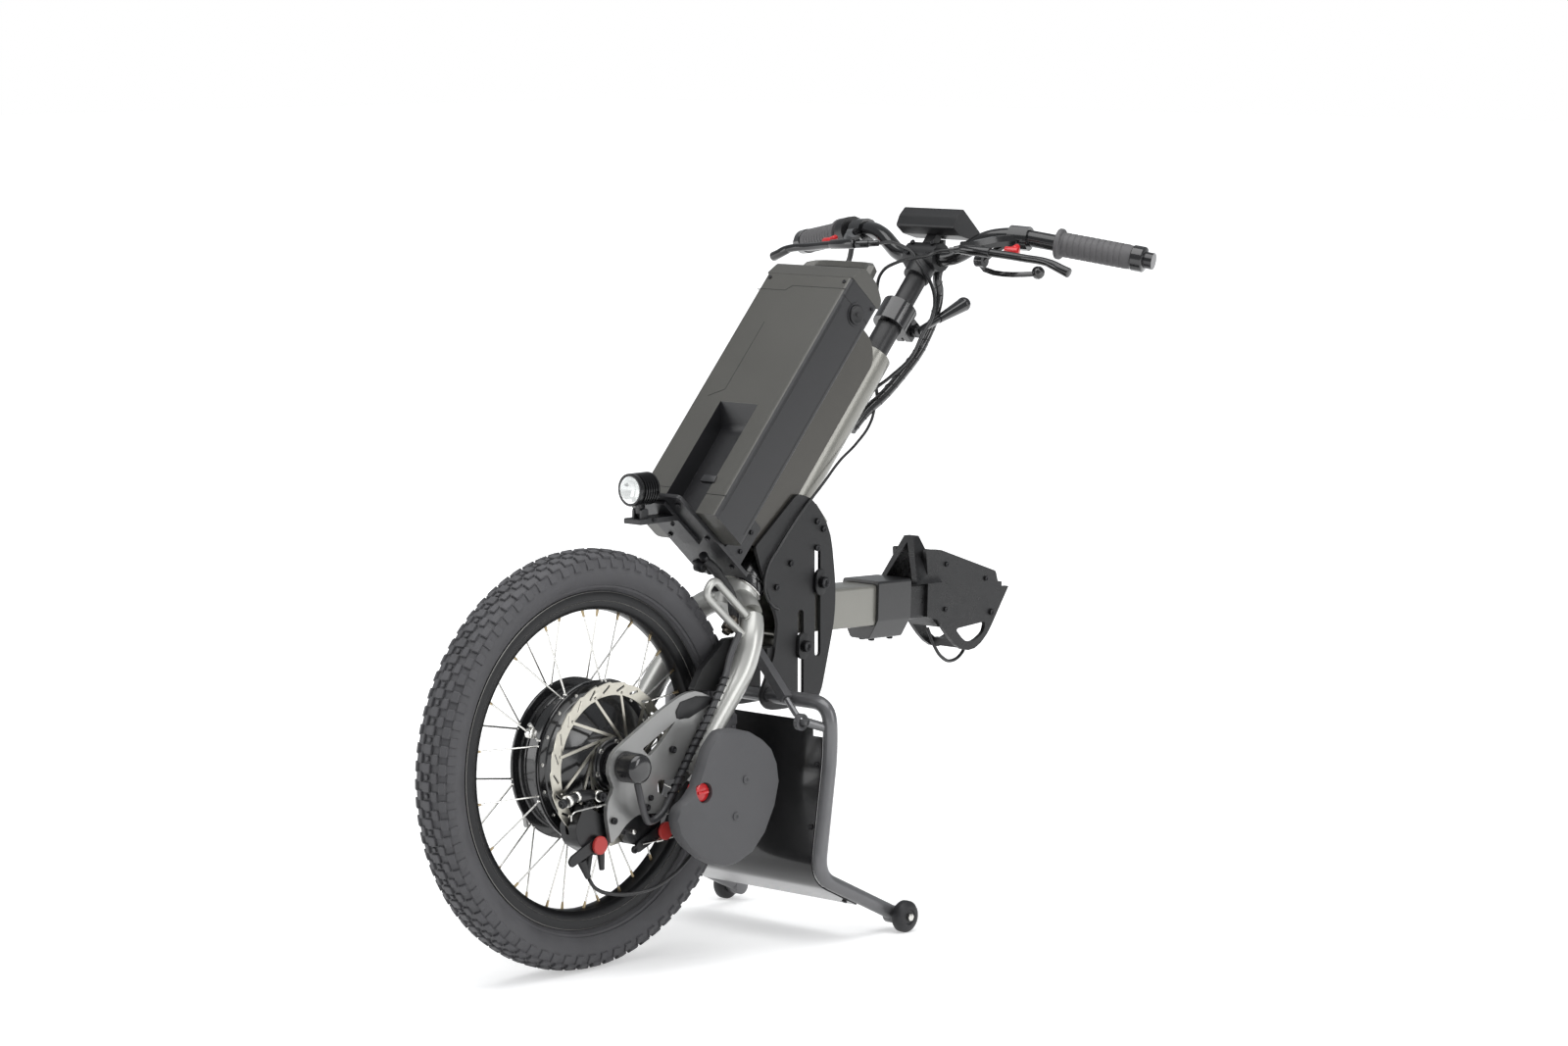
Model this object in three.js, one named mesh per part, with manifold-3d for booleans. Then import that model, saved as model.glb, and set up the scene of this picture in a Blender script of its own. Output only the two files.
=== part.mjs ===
// A powered front unit that turns a wheelchair into a tricycle: one knobby wheel with a hub motor in a steered fork,
// a leaning column that carries the battery and the handlebar, a docking arm behind it and a folding roller stand.
// Millimetres, +Z up, the rider faces -Y and the rider's left is +X.

import * as THREE from 'three';
import { mergeVertices } from 'three/addons/utils/BufferGeometryUtils.js';
import Module from 'manifold-3d';

const wasm = await Module();
wasm.setup();

// Clearances that every fit uses
const seat = 0.3;
const running = 0.5;
const overrun = 2;

// Wheel
const rimRadius = 209;
const tyreHeight = 51;
const tyreRadius = rimRadius + tyreHeight;
const tyreWidth = 57;
const treadDepth = 3.5;
const tyreWall = 5;
const knobPitches = 24;
const knobLength = 11;
const knobWidth = 12;
const rimDepth = 23;
const rimInnerRadius = rimRadius - rimDepth;
const rimWidth = 32;
const rimInnerWidth = 23;
const rimFlange = 2.6;
const rimWell = 9;
const spokeCount = 36;
const spokeRadius = 1.1;
const spokeStagger = 2.3;
const spokeCross = 8;

// Hub motor
const hubFlangeRadius = 100;
const hubBarrelRadius = 88;
const hubHalfWidth = 22;
const hubFlange = 4;
const hubWall = 4;
const hubDish = 10;
const coverDish = 9;
const coverRimWidth = 14;
const statorRadius = 77;
const statorHalfWidth = 15;
const axleRadius = 8;
const shoulderRadius = 12;
const axleReach = 89;
const rotorRadius = 101.5;
const rotorScallop = 4;
const rotorBandWidth = 20;
const rotorArmCount = 10;
const rotorArmWidth = 5;
const rotorArmSweep = 34;
const rotorThickness = 2;
const rotorOffset = 50;
const rotorSeatRadius = 36;
const rotorBoreRadius = 20;
const bossReach = 60;

// Fork, in the column frame: +Z up the column, +Y to its rear
const columnTilt = 42;
const forkOffset = 89.3;
const crownClearance = 66.7;
const forkDrop = tyreRadius + crownClearance;
const legRadius = 16;
const legSpread = 66;
const legSetback = 12;
const legStub = 56.7;
const legEnd = forkDrop - legStub;
const crownRadius = 27;
const crownHeight = 34;
const steererRadius = 16;
const steererBore = 14.3;
const steererSocket = 20;
const hoopRadius = 5;
const hoopReach = 76;
const hoopDrop = 50;
const dropoutThickness = 6;
const dropoutInner = 70;
const axleCapRadius = 16;
const axleCapLength = 28;

// Column and what it carries
const columnRadius = 25;
const columnBore = 20;
const columnTop = 378;
const steererReach = 68;
const steererTop = columnTop + steererReach;
const cupRadius = 29;
const cupHeight = 40;
const railHalfWidth = 30;
const railWall = 3.5;
const railRear = 20;
const railShort = 6;
const railTop = columnTop - railShort;
const railBottom = 37;
const batteryWidth = 148;
const batteryDepth = 65;
const batteryFront = 165;
const batteryHeight = 378;
const batteryCorner = 7;
const capHeight = 24;
const trayHalfWidth = 42;
const trayThickness = 6;
const trayFront = 203;
const trayRear = 36;

// Slotted plates, arm and stand, in the crown frame with level axes
const plateInner = 30;
const plateThickness = 5;
const slotWidth = 10.5;
const rearSlot = 108;
const frontSlot = 76;
const rearSlotTop = 49;
const rearSlotBottom = -95;
const frontSlotTop = -32;
const frontSlotBottom = -142;
const armTilt = 2;
const armSide = 54;
const armWall = 2.5;
const armBoltRise = 39.5;
const armFront = 62;
const armRear = 143;
const collarLength = 43;
const collarWall = 4.5;
const innerArmFront = 20;
const headPlateThickness = 6;
const standHingeBack = 17;
const standHingeDrop = 135;
const standTubeRadius = 8;
const standHalfWidth = 138;
const rollerRadius = 20.5;
const rollerWidth = 17;
const rollerTrack = 157;
const panelHalfWidth = 133;
const panelThickness = 2;

// Handlebar, in the column frame
const barRadius = 11;
const barClampReach = 95;
const barClampRise = steererTop + barClampReach;
const gripRadius = 16;
const gripInner = 186;
const gripOuter = 302;
const stemRadius = 14;
const stemInsert = 110;

const radians = THREE.MathUtils.degToRad;
const tiltSin = Math.sin(radians(columnTilt));
const tiltCos = Math.cos(radians(columnTilt));
const crownBack = forkOffset * tiltCos + forkDrop * tiltSin;
const crownRise = forkDrop * tiltCos - forkOffset * tiltSin;
const crownHeightAboveGround = crownRise + tyreRadius;

function material(color, roughness, metalness) {
  return new THREE.MeshStandardMaterial({ color, roughness, metalness });
}

const rubber = () => material(0x26272a, 0.85, 0);
const satinBlack = () => material(0x1b1b1d, 0.45, 0.3);
const glossBlack = () => material(0x0c0c0e, 0.18, 0.2);
const silver = () => material(0x9b9c97, 0.35, 0.8);
const steel = () => material(0xb8b6ac, 0.3, 1);
const darkGrey = () => material(0x55565a, 0.6, 0.1);
const red = () => material(0xb0161c, 0.4, 0);

// Closed triangle list with its faces turned outwards
function closed(geometry) {
  const bare = geometry.clone();
  bare.deleteAttribute('normal');
  bare.deleteAttribute('uv');
  const merged = mergeVertices(bare);
  const points = merged.attributes.position.array;
  const index = merged.index.array;
  const kept = [];
  for (let i = 0; i < index.length; i += 3) {
    const [a, b, c] = [index[i], index[i + 1], index[i + 2]];
    if (a !== b && b !== c && c !== a) kept.push(a, b, c);
  }
  let volume = 0;
  for (let i = 0; i < kept.length; i += 3) {
    const [p, q, r] = [0, 1, 2].map((k) => new THREE.Vector3().fromArray(points, kept[i + k] * 3));
    volume += p.dot(q.cross(r));
  }
  if (volume < 0) {
    for (let i = 0; i < kept.length; i += 3) [kept[i], kept[i + 1]] = [kept[i + 1], kept[i]];
  }
  return { points, kept };
}

function solid(geometry) {
  const { points, kept } = closed(geometry);
  return new wasm.Manifold(
    new wasm.Mesh({ numProp: 3, vertProperties: new Float32Array(points), triVerts: new Uint32Array(kept) }),
  );
}

function fuse(first, ...others) {
  return others.reduce((sum, next) => sum.add(next), first);
}

function cut(body, ...tools) {
  return tools.reduce((left, tool) => left.subtract(tool), body);
}

function toGeometry(shape) {
  const geometry = new THREE.BufferGeometry();
  if (shape.isBufferGeometry) {
    const { points, kept } = closed(shape);
    geometry.setAttribute('position', new THREE.BufferAttribute(new Float32Array(points), 3));
    geometry.setIndex(kept);
  } else {
    const mesh = shape.getMesh();
    geometry.setAttribute('position', new THREE.BufferAttribute(new Float32Array(mesh.vertProperties), 3));
    geometry.setIndex(Array.from(mesh.triVerts));
  }
  geometry.computeVertexNormals();
  return geometry;
}

function add(frame, name, shape, finish) {
  const mesh = new THREE.Mesh(toGeometry(shape), finish);
  mesh.name = name;
  frame.add(mesh);
  return mesh;
}

// Outline in a plane with each corner rounded by its own third number, held short of the middle of its edges
const roundLimit = 0.48;

function outline(given, ShapeClass = THREE.Shape) {
  const shape = new ShapeClass();
  const ring = given.map(([x, y]) => new THREE.Vector2(x, y));
  const corners = THREE.ShapeUtils.isClockWise(ring) ? [...given].reverse() : given;
  corners.forEach(([x, y, round = 0], i) => {
    const here = new THREE.Vector2(x, y);
    const back = new THREE.Vector2(corners.at(i - 1)[0], corners.at(i - 1)[1]).sub(here);
    const on = new THREE.Vector2(corners[(i + 1) % corners.length][0], corners[(i + 1) % corners.length][1]).sub(here);
    const reach = Math.min(round, back.length() * roundLimit, on.length() * roundLimit);
    const start = here.clone().add(back.setLength(reach));
    const end = here.clone().add(on.setLength(reach));
    if (i === 0) shape.moveTo(start.x, start.y);
    else shape.lineTo(start.x, start.y);
    if (reach > 0) shape.quadraticCurveTo(x, y, end.x, end.y);
  });
  shape.closePath();
  return shape;
}

function box2(x0, y0, x1, y1, round = 0) {
  return [[x0, y0, round], [x1, y0, round], [x1, y1, round], [x0, y1, round]];
}

const sideways = new THREE.Matrix4().makeBasis(
  new THREE.Vector3(0, 1, 0), new THREE.Vector3(0, 0, 1), new THREE.Vector3(1, 0, 0),
);
const upright = new THREE.Matrix4().makeBasis(
  new THREE.Vector3(1, 0, 0), new THREE.Vector3(0, 0, 1), new THREE.Vector3(0, -1, 0),
);

// Plate whose outline lies in the Y-Z plane, from x0 to x1
function sidePlate(shape, x0, x1, curveSegments = 3) {
  const geometry = new THREE.ExtrudeGeometry(shape, { depth: x1 - x0, bevelEnabled: false, curveSegments });
  return geometry.applyMatrix4(sideways).translate(x0, 0, 0);
}

// Plate whose outline lies in the X-Y plane, from z0 to z1
function flatPlate(shape, z0, z1, curveSegments = 3) {
  const geometry = new THREE.ExtrudeGeometry(shape, { depth: z1 - z0, bevelEnabled: false, curveSegments });
  return geometry.translate(0, 0, z0);
}

// Plate whose outline lies in the X-Z plane, from y0 to y1
function frontPlate(shape, y0, y1, curveSegments = 3) {
  const geometry = new THREE.ExtrudeGeometry(shape, { depth: y1 - y0, bevelEnabled: false, curveSegments });
  return geometry.applyMatrix4(upright).translate(0, y1, 0);
}

// Body turned about the X axis from a closed profile of [x, radius] pairs
function turnedX(profile, segments) {
  const points = profile.map(([x, r]) => new THREE.Vector2(r, x));
  points.push(points[0].clone());
  return new THREE.LatheGeometry(points, segments).rotateZ(-Math.PI / 2);
}

// Body turned about the Z axis from a closed profile of [radius, z] pairs
function turnedZ(profile, segments) {
  const points = profile.map(([r, z]) => new THREE.Vector2(r, z));
  points.push(points[0].clone());
  return new THREE.LatheGeometry(points, segments).rotateX(Math.PI / 2);
}

function rod(from, to, radius, sides = 12) {
  const axis = to.clone().sub(from);
  const geometry = new THREE.CylinderGeometry(radius, radius, axis.length(), sides);
  const turn = new THREE.Quaternion().setFromUnitVectors(new THREE.Vector3(0, 1, 0), axis.clone().normalize());
  return geometry.applyQuaternion(turn).translate(...from.clone().add(to).multiplyScalar(1 / 2));
}

// Square bar between two points, with two of its faces level with the Y axis
function squareBar(from, to, side) {
  const way = to.clone().sub(from).normalize();
  const across = at(0, 1, 0).addScaledVector(way, -way.y).normalize();
  const basis = new THREE.Matrix4().makeBasis(across, way.clone().cross(across), way);
  const bar = new THREE.BoxGeometry(side, side, to.distanceTo(from)).applyMatrix4(basis);
  return bar.translate(...from.clone().add(to).multiplyScalar(1 / 2));
}

function at(x, y, z) {
  return new THREE.Vector3(x, y, z);
}

function circle(radius, sides) {
  const ring = Array.from({ length: sides }, (_, i) => {
    const angle = (2 * Math.PI * i) / sides;
    return new THREE.Vector2(radius * Math.cos(angle), radius * Math.sin(angle));
  });
  return new THREE.Shape(ring);
}

// Round tube along a smooth curve through the points
function bent(points, radius, { sides = 10, steps = 24, tension = 0.5 } = {}) {
  const path = new THREE.CatmullRomCurve3(points, false, 'catmullrom', tension);
  return new THREE.ExtrudeGeometry(circle(radius, sides), { steps, extrudePath: path, bevelEnabled: false });
}

// Straight runs joined by arcs of one bend radius, as a tube bender makes them
class BenderPath extends THREE.Curve {
  constructor(points, bend, bendSteps = 4) {
    super();
    this.nodes = [{ point: points[0], way: points[1].clone().sub(points[0]).normalize() }];
    for (let i = 1; i < points.length - 1; i += 1) {
      const corner = points[i];
      const arrive = corner.clone().add(points[i - 1].clone().sub(corner).setLength(bend));
      const leave = corner.clone().add(points[i + 1].clone().sub(corner).setLength(bend));
      const arc = new THREE.QuadraticBezierCurve3(arrive, corner, leave);
      for (let k = 0; k <= bendSteps; k += 1) {
        this.nodes.push({ point: arc.getPoint(k / bendSteps), way: arc.getTangent(k / bendSteps) });
      }
    }
    this.nodes.push({ point: points.at(-1), way: points.at(-1).clone().sub(points.at(-2)).normalize() });
  }

  get steps() {
    return this.nodes.length - 1;
  }

  getPoint(t) {
    return this.nodes[Math.round(t * this.steps)].point.clone();
  }

  getTangent(t) {
    return this.nodes[Math.round(t * this.steps)].way.clone();
  }

  getUtoTmapping(u) {
    return u;
  }
}

function bentTube(points, radius, bend, { sides = 10, bendSteps = 4 } = {}) {
  const path = new BenderPath(points, bend, bendSteps);
  return new THREE.ExtrudeGeometry(circle(radius, sides), { steps: path.steps, extrudePath: path, bevelEnabled: false });
}

const mirrorX = (shape) => shape.mirror([1, 0, 0]);

const group = new THREE.Group();
const crownFrame = new THREE.Group();
const columnFrame = new THREE.Group();
const wheelFrame = new THREE.Group();
crownFrame.position.set(0, crownBack, crownHeightAboveGround);
columnFrame.rotation.x = -radians(columnTilt);
wheelFrame.position.set(0, 0, tyreRadius);
group.add(crownFrame, wheelFrame);
crownFrame.add(columnFrame);

// A point of the wheel frame, told in the column frame
function fromWheel(x, y, z) {
  return at(x, y * tiltCos - z * tiltSin - forkOffset, y * tiltSin + z * tiltCos - forkDrop);
}

// Tyre: an open casing with two rows of shoulder knobs and one of centre knobs

const beadHalf = rimWidth / 2 - rimFlange - seat;
const casingRadius = tyreRadius - treadDepth;
const beadRadius = rimRadius - rimWell + seat;
const sidewallShares = [[0.98, 0.36], [0.86, 0.8], [0.36, 1]];

function tyreSection() {
  const half = tyreWidth / 2;
  const height = casingRadius - rimRadius - seat;
  const outer = [[beadHalf, beadRadius], [beadHalf, rimRadius + seat]];
  sidewallShares.forEach(([across, up]) => outer.push([half * across, rimRadius + seat + height * up]));
  const inner = [[beadHalf - tyreWall, beadRadius]];
  sidewallShares.forEach(([across, up]) => {
    inner.push([(half - tyreWall) * across, rimRadius + (height - tyreWall) * up]);
  });
  const flip = (side) => side.map(([x, r]) => [-x, r]);
  return [...outer, ...flip(outer).reverse(), ...flip(inner), ...inner.reverse()];
}

function knob(across, outerRadius, lean, turn, length, width) {
  const depth = treadDepth * 2;
  const block = new THREE.BoxGeometry(width, length, depth).translate(0, 0, -depth / 2);
  block.rotateY(lean).translate(across, 0, outerRadius).rotateX(turn);
  return solid(block);
}

function tyre() {
  let body = solid(turnedX(tyreSection(), knobPitches * 2));
  const blocks = [];
  const shoulder = tyreWidth / 2 - knobWidth / 4;
  for (let i = 0; i < knobPitches; i += 1) {
    const half = Math.PI / knobPitches;
    const turn = half * (2 * i + 0.5);
    blocks.push(knob(0, tyreRadius, 0, turn, knobLength, knobWidth * 1.5));
    [1, -1].forEach((side) => {
      const lean = side * radians(42);
      blocks.push(knob(side * shoulder, casingRadius - treadDepth, lean, turn + half, knobLength, knobWidth));
    });
  }
  return blocks.reduce((sum, block) => sum.add(block), body);
}

add(wheelFrame, 'tyre', tyre(), rubber());

// Rim with its spokes and nipples, which end at the hub flanges

function rimSection() {
  const half = rimWidth / 2;
  const innerHalf = rimInnerWidth / 2;
  const knee = rimInnerRadius + rimWell;
  const well = rimRadius - rimWell;
  const side = [
    [innerHalf, rimInnerRadius], [half, knee], [half, rimRadius], [half - rimFlange, rimRadius],
    [half - rimFlange, well],
  ];
  return [...side, ...side.map(([x, r]) => [-x, r]).reverse()];
}

function spoke(i) {
  const step = (2 * Math.PI) / spokeCount;
  const side = i % 2 ? 1 : -1;
  const lead = Math.floor(i / 2) % 2 ? 1 : -1;
  const rimAngle = i * step;
  const hubAngle = rimAngle + lead * radians(spokeCross);
  const hubRadius = hubFlangeRadius + running;
  const foot = at(side * (hubHalfWidth - hubFlange / 2), hubRadius * Math.cos(hubAngle), hubRadius * Math.sin(hubAngle));
  const tipRadius = rimInnerRadius + rimFlange;
  const tip = at(side * spokeStagger, tipRadius * Math.cos(rimAngle), tipRadius * Math.sin(rimAngle));
  return solid(rod(foot, tip, spokeRadius, 4));
}

function rim() {
  let body = solid(turnedX(rimSection(), 48));
  for (let i = 0; i < spokeCount; i += 1) body = body.add(spoke(i));
  return body;
}

add(wheelFrame, 'rim', rim(), satinBlack());

// Hub: a cup with two spoke flanges, closed by the cover that carries the rotor

const innerBarrel = hubBarrelRadius - hubWall;
const hubBore = shoulderRadius + running;

add(wheelFrame, 'hub_shell', turnedX([
  [-hubHalfWidth - hubDish, hubBore], [-hubHalfWidth - hubDish, shoulderRadius * 3],
  [-hubHalfWidth, hubFlangeRadius], [-hubHalfWidth + hubFlange, hubFlangeRadius],
  [-hubHalfWidth + hubFlange * 1.5, hubBarrelRadius], [hubHalfWidth - hubFlange * 1.5, hubBarrelRadius],
  [hubHalfWidth - hubFlange, hubFlangeRadius], [hubHalfWidth, hubFlangeRadius], [hubHalfWidth, innerBarrel],
  [-hubHalfWidth + hubFlange, innerBarrel], [-hubHalfWidth - hubDish + hubWall, hubBore],
], 40), glossBlack());

const coverFace = hubHalfWidth + seat;
const rotorInner = rotorOffset - rotorThickness / 2;
const rotorOuter = rotorOffset + rotorThickness / 2;

add(wheelFrame, 'hub_cover', turnedX([
  [coverFace, hubFlangeRadius - running * 4], [coverFace + hubFlange * 0.7, hubFlangeRadius - running * 4],
  [coverFace + hubFlange, hubFlangeRadius - coverRimWidth], [coverFace + coverDish, hubFlangeRadius - coverRimWidth * 2],
  [rotorInner - hubDish, rotorSeatRadius * 1.2], [rotorInner - seat, rotorSeatRadius],
  [rotorInner - seat, rotorBoreRadius], [bossReach, rotorBoreRadius], [bossReach, hubBore],
  [coverFace + hubWall, hubBore], [coverFace + hubWall, rotorSeatRadius],
  [coverFace, innerBarrel - coverRimWidth],
], 40), glossBlack());

function rotorOutline() {
  const shape = new THREE.Shape();
  const waves = rotorArmCount * 2;
  const steps = waves * 2;
  for (let i = 0; i < steps; i += 1) {
    const angle = (2 * Math.PI * i) / steps;
    const saw = (i % 2) / 2;
    const radius = rotorRadius - rotorScallop * saw;
    shape[i ? 'lineTo' : 'moveTo'](radius * Math.cos(angle), radius * Math.sin(angle));
  }
  shape.closePath();
  const polar = (radius, angle) => [radius * Math.cos(angle), radius * Math.sin(angle)];
  const hole = (corners) => shape.holes.push(outline(corners, THREE.Path));
  const outer = rotorRadius - rotorBandWidth;
  const inner = rotorSeatRadius + rotorThickness;
  for (let i = 0; i < rotorArmCount; i += 1) {
    const start = (2 * Math.PI * i) / rotorArmCount;
    const pitch = (2 * Math.PI) / rotorArmCount;
    const sweep = radians(rotorArmSweep);
    const outerArm = rotorArmWidth / outer;
    const innerArm = rotorArmWidth / inner;
    hole([
      [...polar(inner, start + innerArm), 2], [...polar(outer, start + sweep + outerArm), 5],
      polar(outer * 1.01, start + sweep + pitch / 2), [...polar(outer, start + sweep + pitch - outerArm / 2), 3],
      [...polar(inner, start + pitch - innerArm / 2), 1],
    ]);
    [0.2, 0.7].forEach((share) => {
      const middle = start + pitch * share;
      const width = rotorThickness / outer;
      const slant = rotorArmWidth / outer;
      hole([
        polar(outer + rotorArmWidth, middle), polar(rotorRadius - rotorArmWidth * 1.4, middle + slant),
        polar(rotorRadius - rotorArmWidth * 1.4, middle + slant + width * 1.3),
        polar(outer + rotorArmWidth, middle + width * 1.5),
      ]);
    });
  }
  shape.holes.push(new THREE.Path(circle(rotorBoreRadius + seat, 24).getPoints()));
  return shape;
}

add(wheelFrame, 'brake_rotor', sidePlate(rotorOutline(), rotorInner, rotorOuter, 2), steel());

// Fixed axle with the stator pressed on it, and the two caps over its ends

const shoulderEnd = dropoutInner - seat;

add(wheelFrame, 'motor_axle', turnedX([
  [-axleReach, 0], [-axleReach, axleRadius], [-shoulderEnd, axleRadius], [-shoulderEnd, shoulderRadius],
  [-statorHalfWidth, shoulderRadius], [-statorHalfWidth, statorRadius], [statorHalfWidth, statorRadius],
  [statorHalfWidth, shoulderRadius], [shoulderEnd, shoulderRadius], [shoulderEnd, axleRadius],
  [axleReach, axleRadius], [axleReach, 0],
], 20), steel());

const capStart = dropoutInner + dropoutThickness + seat;
const capEnd = capStart + axleCapLength;
const capChamfer = 3;
const axleCap = turnedX([
  [axleReach + running, 0], [capEnd, 0], [capEnd, axleCapRadius - capChamfer],
  [capEnd - capChamfer, axleCapRadius], [capStart, axleCapRadius], [capStart, axleRadius + seat],
  [axleReach + running, axleRadius + seat],
], 18);
add(wheelFrame, 'axle_cap_left', axleCap, glossBlack());
add(wheelFrame, 'axle_cap_right', mirrorX(solid(axleCap)), glossBlack());

// Fork: crown, two curved legs and the guard hoop, welded as one

const legPath = (side) => [
  at(0, -4, -crownHeight * 0.5), at(side * legSpread * 0.5, -6, -crownHeight * 0.7),
  at(side * legSpread * 0.93, -3, -crownHeight * 1.75), at(side * legSpread, legSetback, -crownHeight * 3.2),
  at(side * legSpread, legSetback, -legEnd),
];

function forkFrame() {
  const crown = turnedZ([
    [0, -crownHeight], [crownRadius * 0.8, -crownHeight], [crownRadius, -crownHeight * 0.5], [crownRadius, 0], [0, 0],
  ], 24);
  const leg = solid(bentTube(legPath(1), legRadius, 24, { sides: 10, bendSteps: 3 }));
  const hoopStart = legSpread * 0.8;
  const hoop = bentTube([
    at(hoopStart, -legRadius * 0.4, -hoopDrop), at(hoopStart * 0.82, -hoopReach, -hoopDrop),
    at(-hoopStart * 0.82, -hoopReach, -hoopDrop), at(-hoopStart, -legRadius * 0.4, -hoopDrop),
  ], hoopRadius, 38, { sides: 8, bendSteps: 5 });
  const bore = turnedZ([
    [0, -steererSocket], [steererRadius + seat, -steererSocket], [steererRadius + seat, overrun], [0, overrun],
  ], 28);
  return cut(fuse(solid(crown), leg, mirrorX(leg), solid(hoop)), solid(bore));
}

add(columnFrame, 'fork_frame', forkFrame(), silver());

add(columnFrame, 'steerer_tube', turnedZ([
  [steererBore, -steererSocket + seat], [steererRadius, -steererSocket + seat], [steererRadius, steererTop],
  [steererBore, steererTop],
], 28), glossBlack());

// Dropout plates, seated on the front of each leg, in the wheel frame

const dropoutCorners = [
  [165, 62, 10], [124, 80, 14], [98, 76, 14], [59, 60, 0], [2, 32, 14], [-24, 18, 12], [-30, -6, 12], [-18, -24, 8],
  [-30, -40, 6], [-32, -56, 6], [-25, -92, 3], [-12, -84, 3], [2, -71, 8], [22, -62, 8], [64, -66, 8],
  [82, -50, 4], [118, -24, 3], [128, 2, 3],
];
const upperWindow = [[88, 45, 2], [30, 18, 3], [42, 7, 3], [60, 19, 4]];
const lowerWindow = [[57, -24, 3], [102, -29, 2], [88, -46, 3], [75, -49, 3], [56, -39, 3]];
const insertPocket = [[86, 58, 8], [92, 46, 5], [112, 47, 3], [154, 60, 3], [156, 68, 3], [124, 73, 3]];

function dropout() {
  const shape = outline(dropoutCorners);
  shape.holes.push(outline(upperWindow, THREE.Path), outline(lowerWindow, THREE.Path));
  const outerFace = dropoutInner + dropoutThickness;
  const plate = solid(sidePlate(shape, dropoutInner, outerFace, 2));
  const pocket = solid(sidePlate(outline(insertPocket), outerFace - dropoutThickness / 2, outerFace + overrun));
  const bore = solid(rod(at(0, 0, 0), at(outerFace * 2, 0, 0), axleRadius + seat, 16));
  const legLine = rod(at(legSpread, 0, 0), at(legSpread, 0, legEnd), legRadius + seat, 16);
  legLine.translate(0, legSetback, -legEnd).rotateX(-radians(columnTilt));
  legLine.translate(0, crownBack, crownRise);
  return cut(plate, pocket, bore, solid(legLine));
}

add(wheelFrame, 'dropout_left', dropout(), silver());
add(wheelFrame, 'dropout_right', mirrorX(dropout()), silver());

// Cable junction plate inside the left leg

add(columnFrame, 'cable_junction', sidePlate(outline([
  [-20, -88, 3], [-2, -72, 3], [8, -76, 3], [10, -90, 3], [14, -120, 3], [9, -148, 3], [-26, -172, 4], [-30, -142, 4],
]), 36, 45.8), satinBlack());

// Calipers: both straddle the lower edge of the one rotor

const caliperInner = 38;
const caliperOuter = 66;
const caliperRadius = 84;
const caliperHalfLength = 32;
const caliperHalfHeight = 20;
const padGap = 1.5;
const armPivotReach = 30;

function caliper(swing, post) {
  const shape = outline([
    [-caliperHalfLength, -caliperHalfHeight * 0.6, 6], [-caliperHalfLength * 0.5, -caliperHalfHeight * 1.4, 8],
    [caliperHalfLength * 0.6, -caliperHalfHeight * 1.4, 6], [caliperHalfLength, -caliperHalfHeight * 0.5, 6],
    [caliperHalfLength, caliperHalfHeight, 5], [-caliperHalfLength, caliperHalfHeight, 5],
  ]);
  const body = solid(sidePlate(shape, caliperInner, caliperOuter));
  const slot = sidePlate(
    outline(box2(-caliperHalfLength * 2, caliperRadius - rotorRadius - padGap, caliperHalfLength * 2, caliperRadius)),
    rotorInner - padGap, rotorOuter + padGap,
  );
  const carved = cut(body, solid(slot));
  const placed = carved.translate([0, 0, -caliperRadius]).rotate([swing, 0, 0]);
  return fuse(placed, solid(rod(at(caliperOuter - overrun * 3, ...post), at(dropoutInner - seat, ...post), 6, 12)));
}

const frontSwing = -30;
const rearSwing = 29;
add(wheelFrame, 'caliper_front', caliper(frontSwing, [-21, -64]), satinBlack());
add(wheelFrame, 'caliper_rear', caliper(rearSwing, [36, -55]), satinBlack());

// Actuating arm on the outer face of a caliper, turning on its red adjuster cap
function caliperArm() {
  const capWidth = 6;
  const armWidth = 3.2;
  const reach = armPivotReach + caliperHalfHeight;
  const arm = sidePlate(outline([
    [-9, -8, 5], [-reach * 0.9, -22, 3], [-reach, -14, 3], [-reach * 0.9, -8, 2], [-6, 9, 5], [9, 8, 5], [9, -8, 5],
  ]), caliperOuter + seat, caliperOuter + seat + armWidth);
  const cap = rod(at(caliperOuter + seat, 0, 0), at(caliperOuter + seat + armWidth + capWidth / 2, 0, 0), 8, 16);
  return fuse(solid(arm), solid(cap));
}

const frontPivot = [0, -40, -92];
const rearPivot = [0, 74, -90];
add(wheelFrame, 'caliper_arm_front', caliperArm().translate([0, frontPivot[1], frontPivot[2]]), darkGrey());
add(wheelFrame, 'caliper_arm_rear', caliperArm().translate([0, rearPivot[1], rearPivot[2]]), darkGrey());

// Ballast weights bolted outside the legs, each with its red release knob

const ballastInner = 88;
const ballastOuter = 126;
const ballastCentre = [135, -50];
const ballastLean = 20;
const knobRadius = 9;

function ballast() {
  const shape = outline([[-62, -84, 46], [52, -84, 46], [62, 30, 40], [48, 84, 44], [-48, 84, 44], [-62, 20, 40]]);
  const slab = solid(sidePlate(shape, ballastInner, ballastOuter, 6));
  const rotated = slab.rotate([-ballastLean, 0, 0]).translate([0, ...ballastCentre]);
  const knobHole = rod(at(ballastInner - overrun, 88, -38), at(ballastOuter + overrun, 88, -38), knobRadius + running, 20);
  const boss = rod(at(legSpread + legRadius + seat, 125, -12), at(ballastInner + overrun, 125, -12), 12, 16);
  return fuse(cut(rotated, solid(knobHole)), solid(boss));
}

add(wheelFrame, 'ballast_left', ballast(), darkGrey());
add(wheelFrame, 'ballast_right', mirrorX(ballast()), darkGrey());
const knobBody = rod(at(ballastInner - seat, 88, -38), at(ballastOuter - overrun * 6, 88, -38), knobRadius, 16);
add(wheelFrame, 'ballast_knob_left', knobBody, red());
add(wheelFrame, 'ballast_knob_right', mirrorX(solid(knobBody)), red());

// Column tube, with the bearing seat at its top and the lugs for the slotted plates

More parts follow.
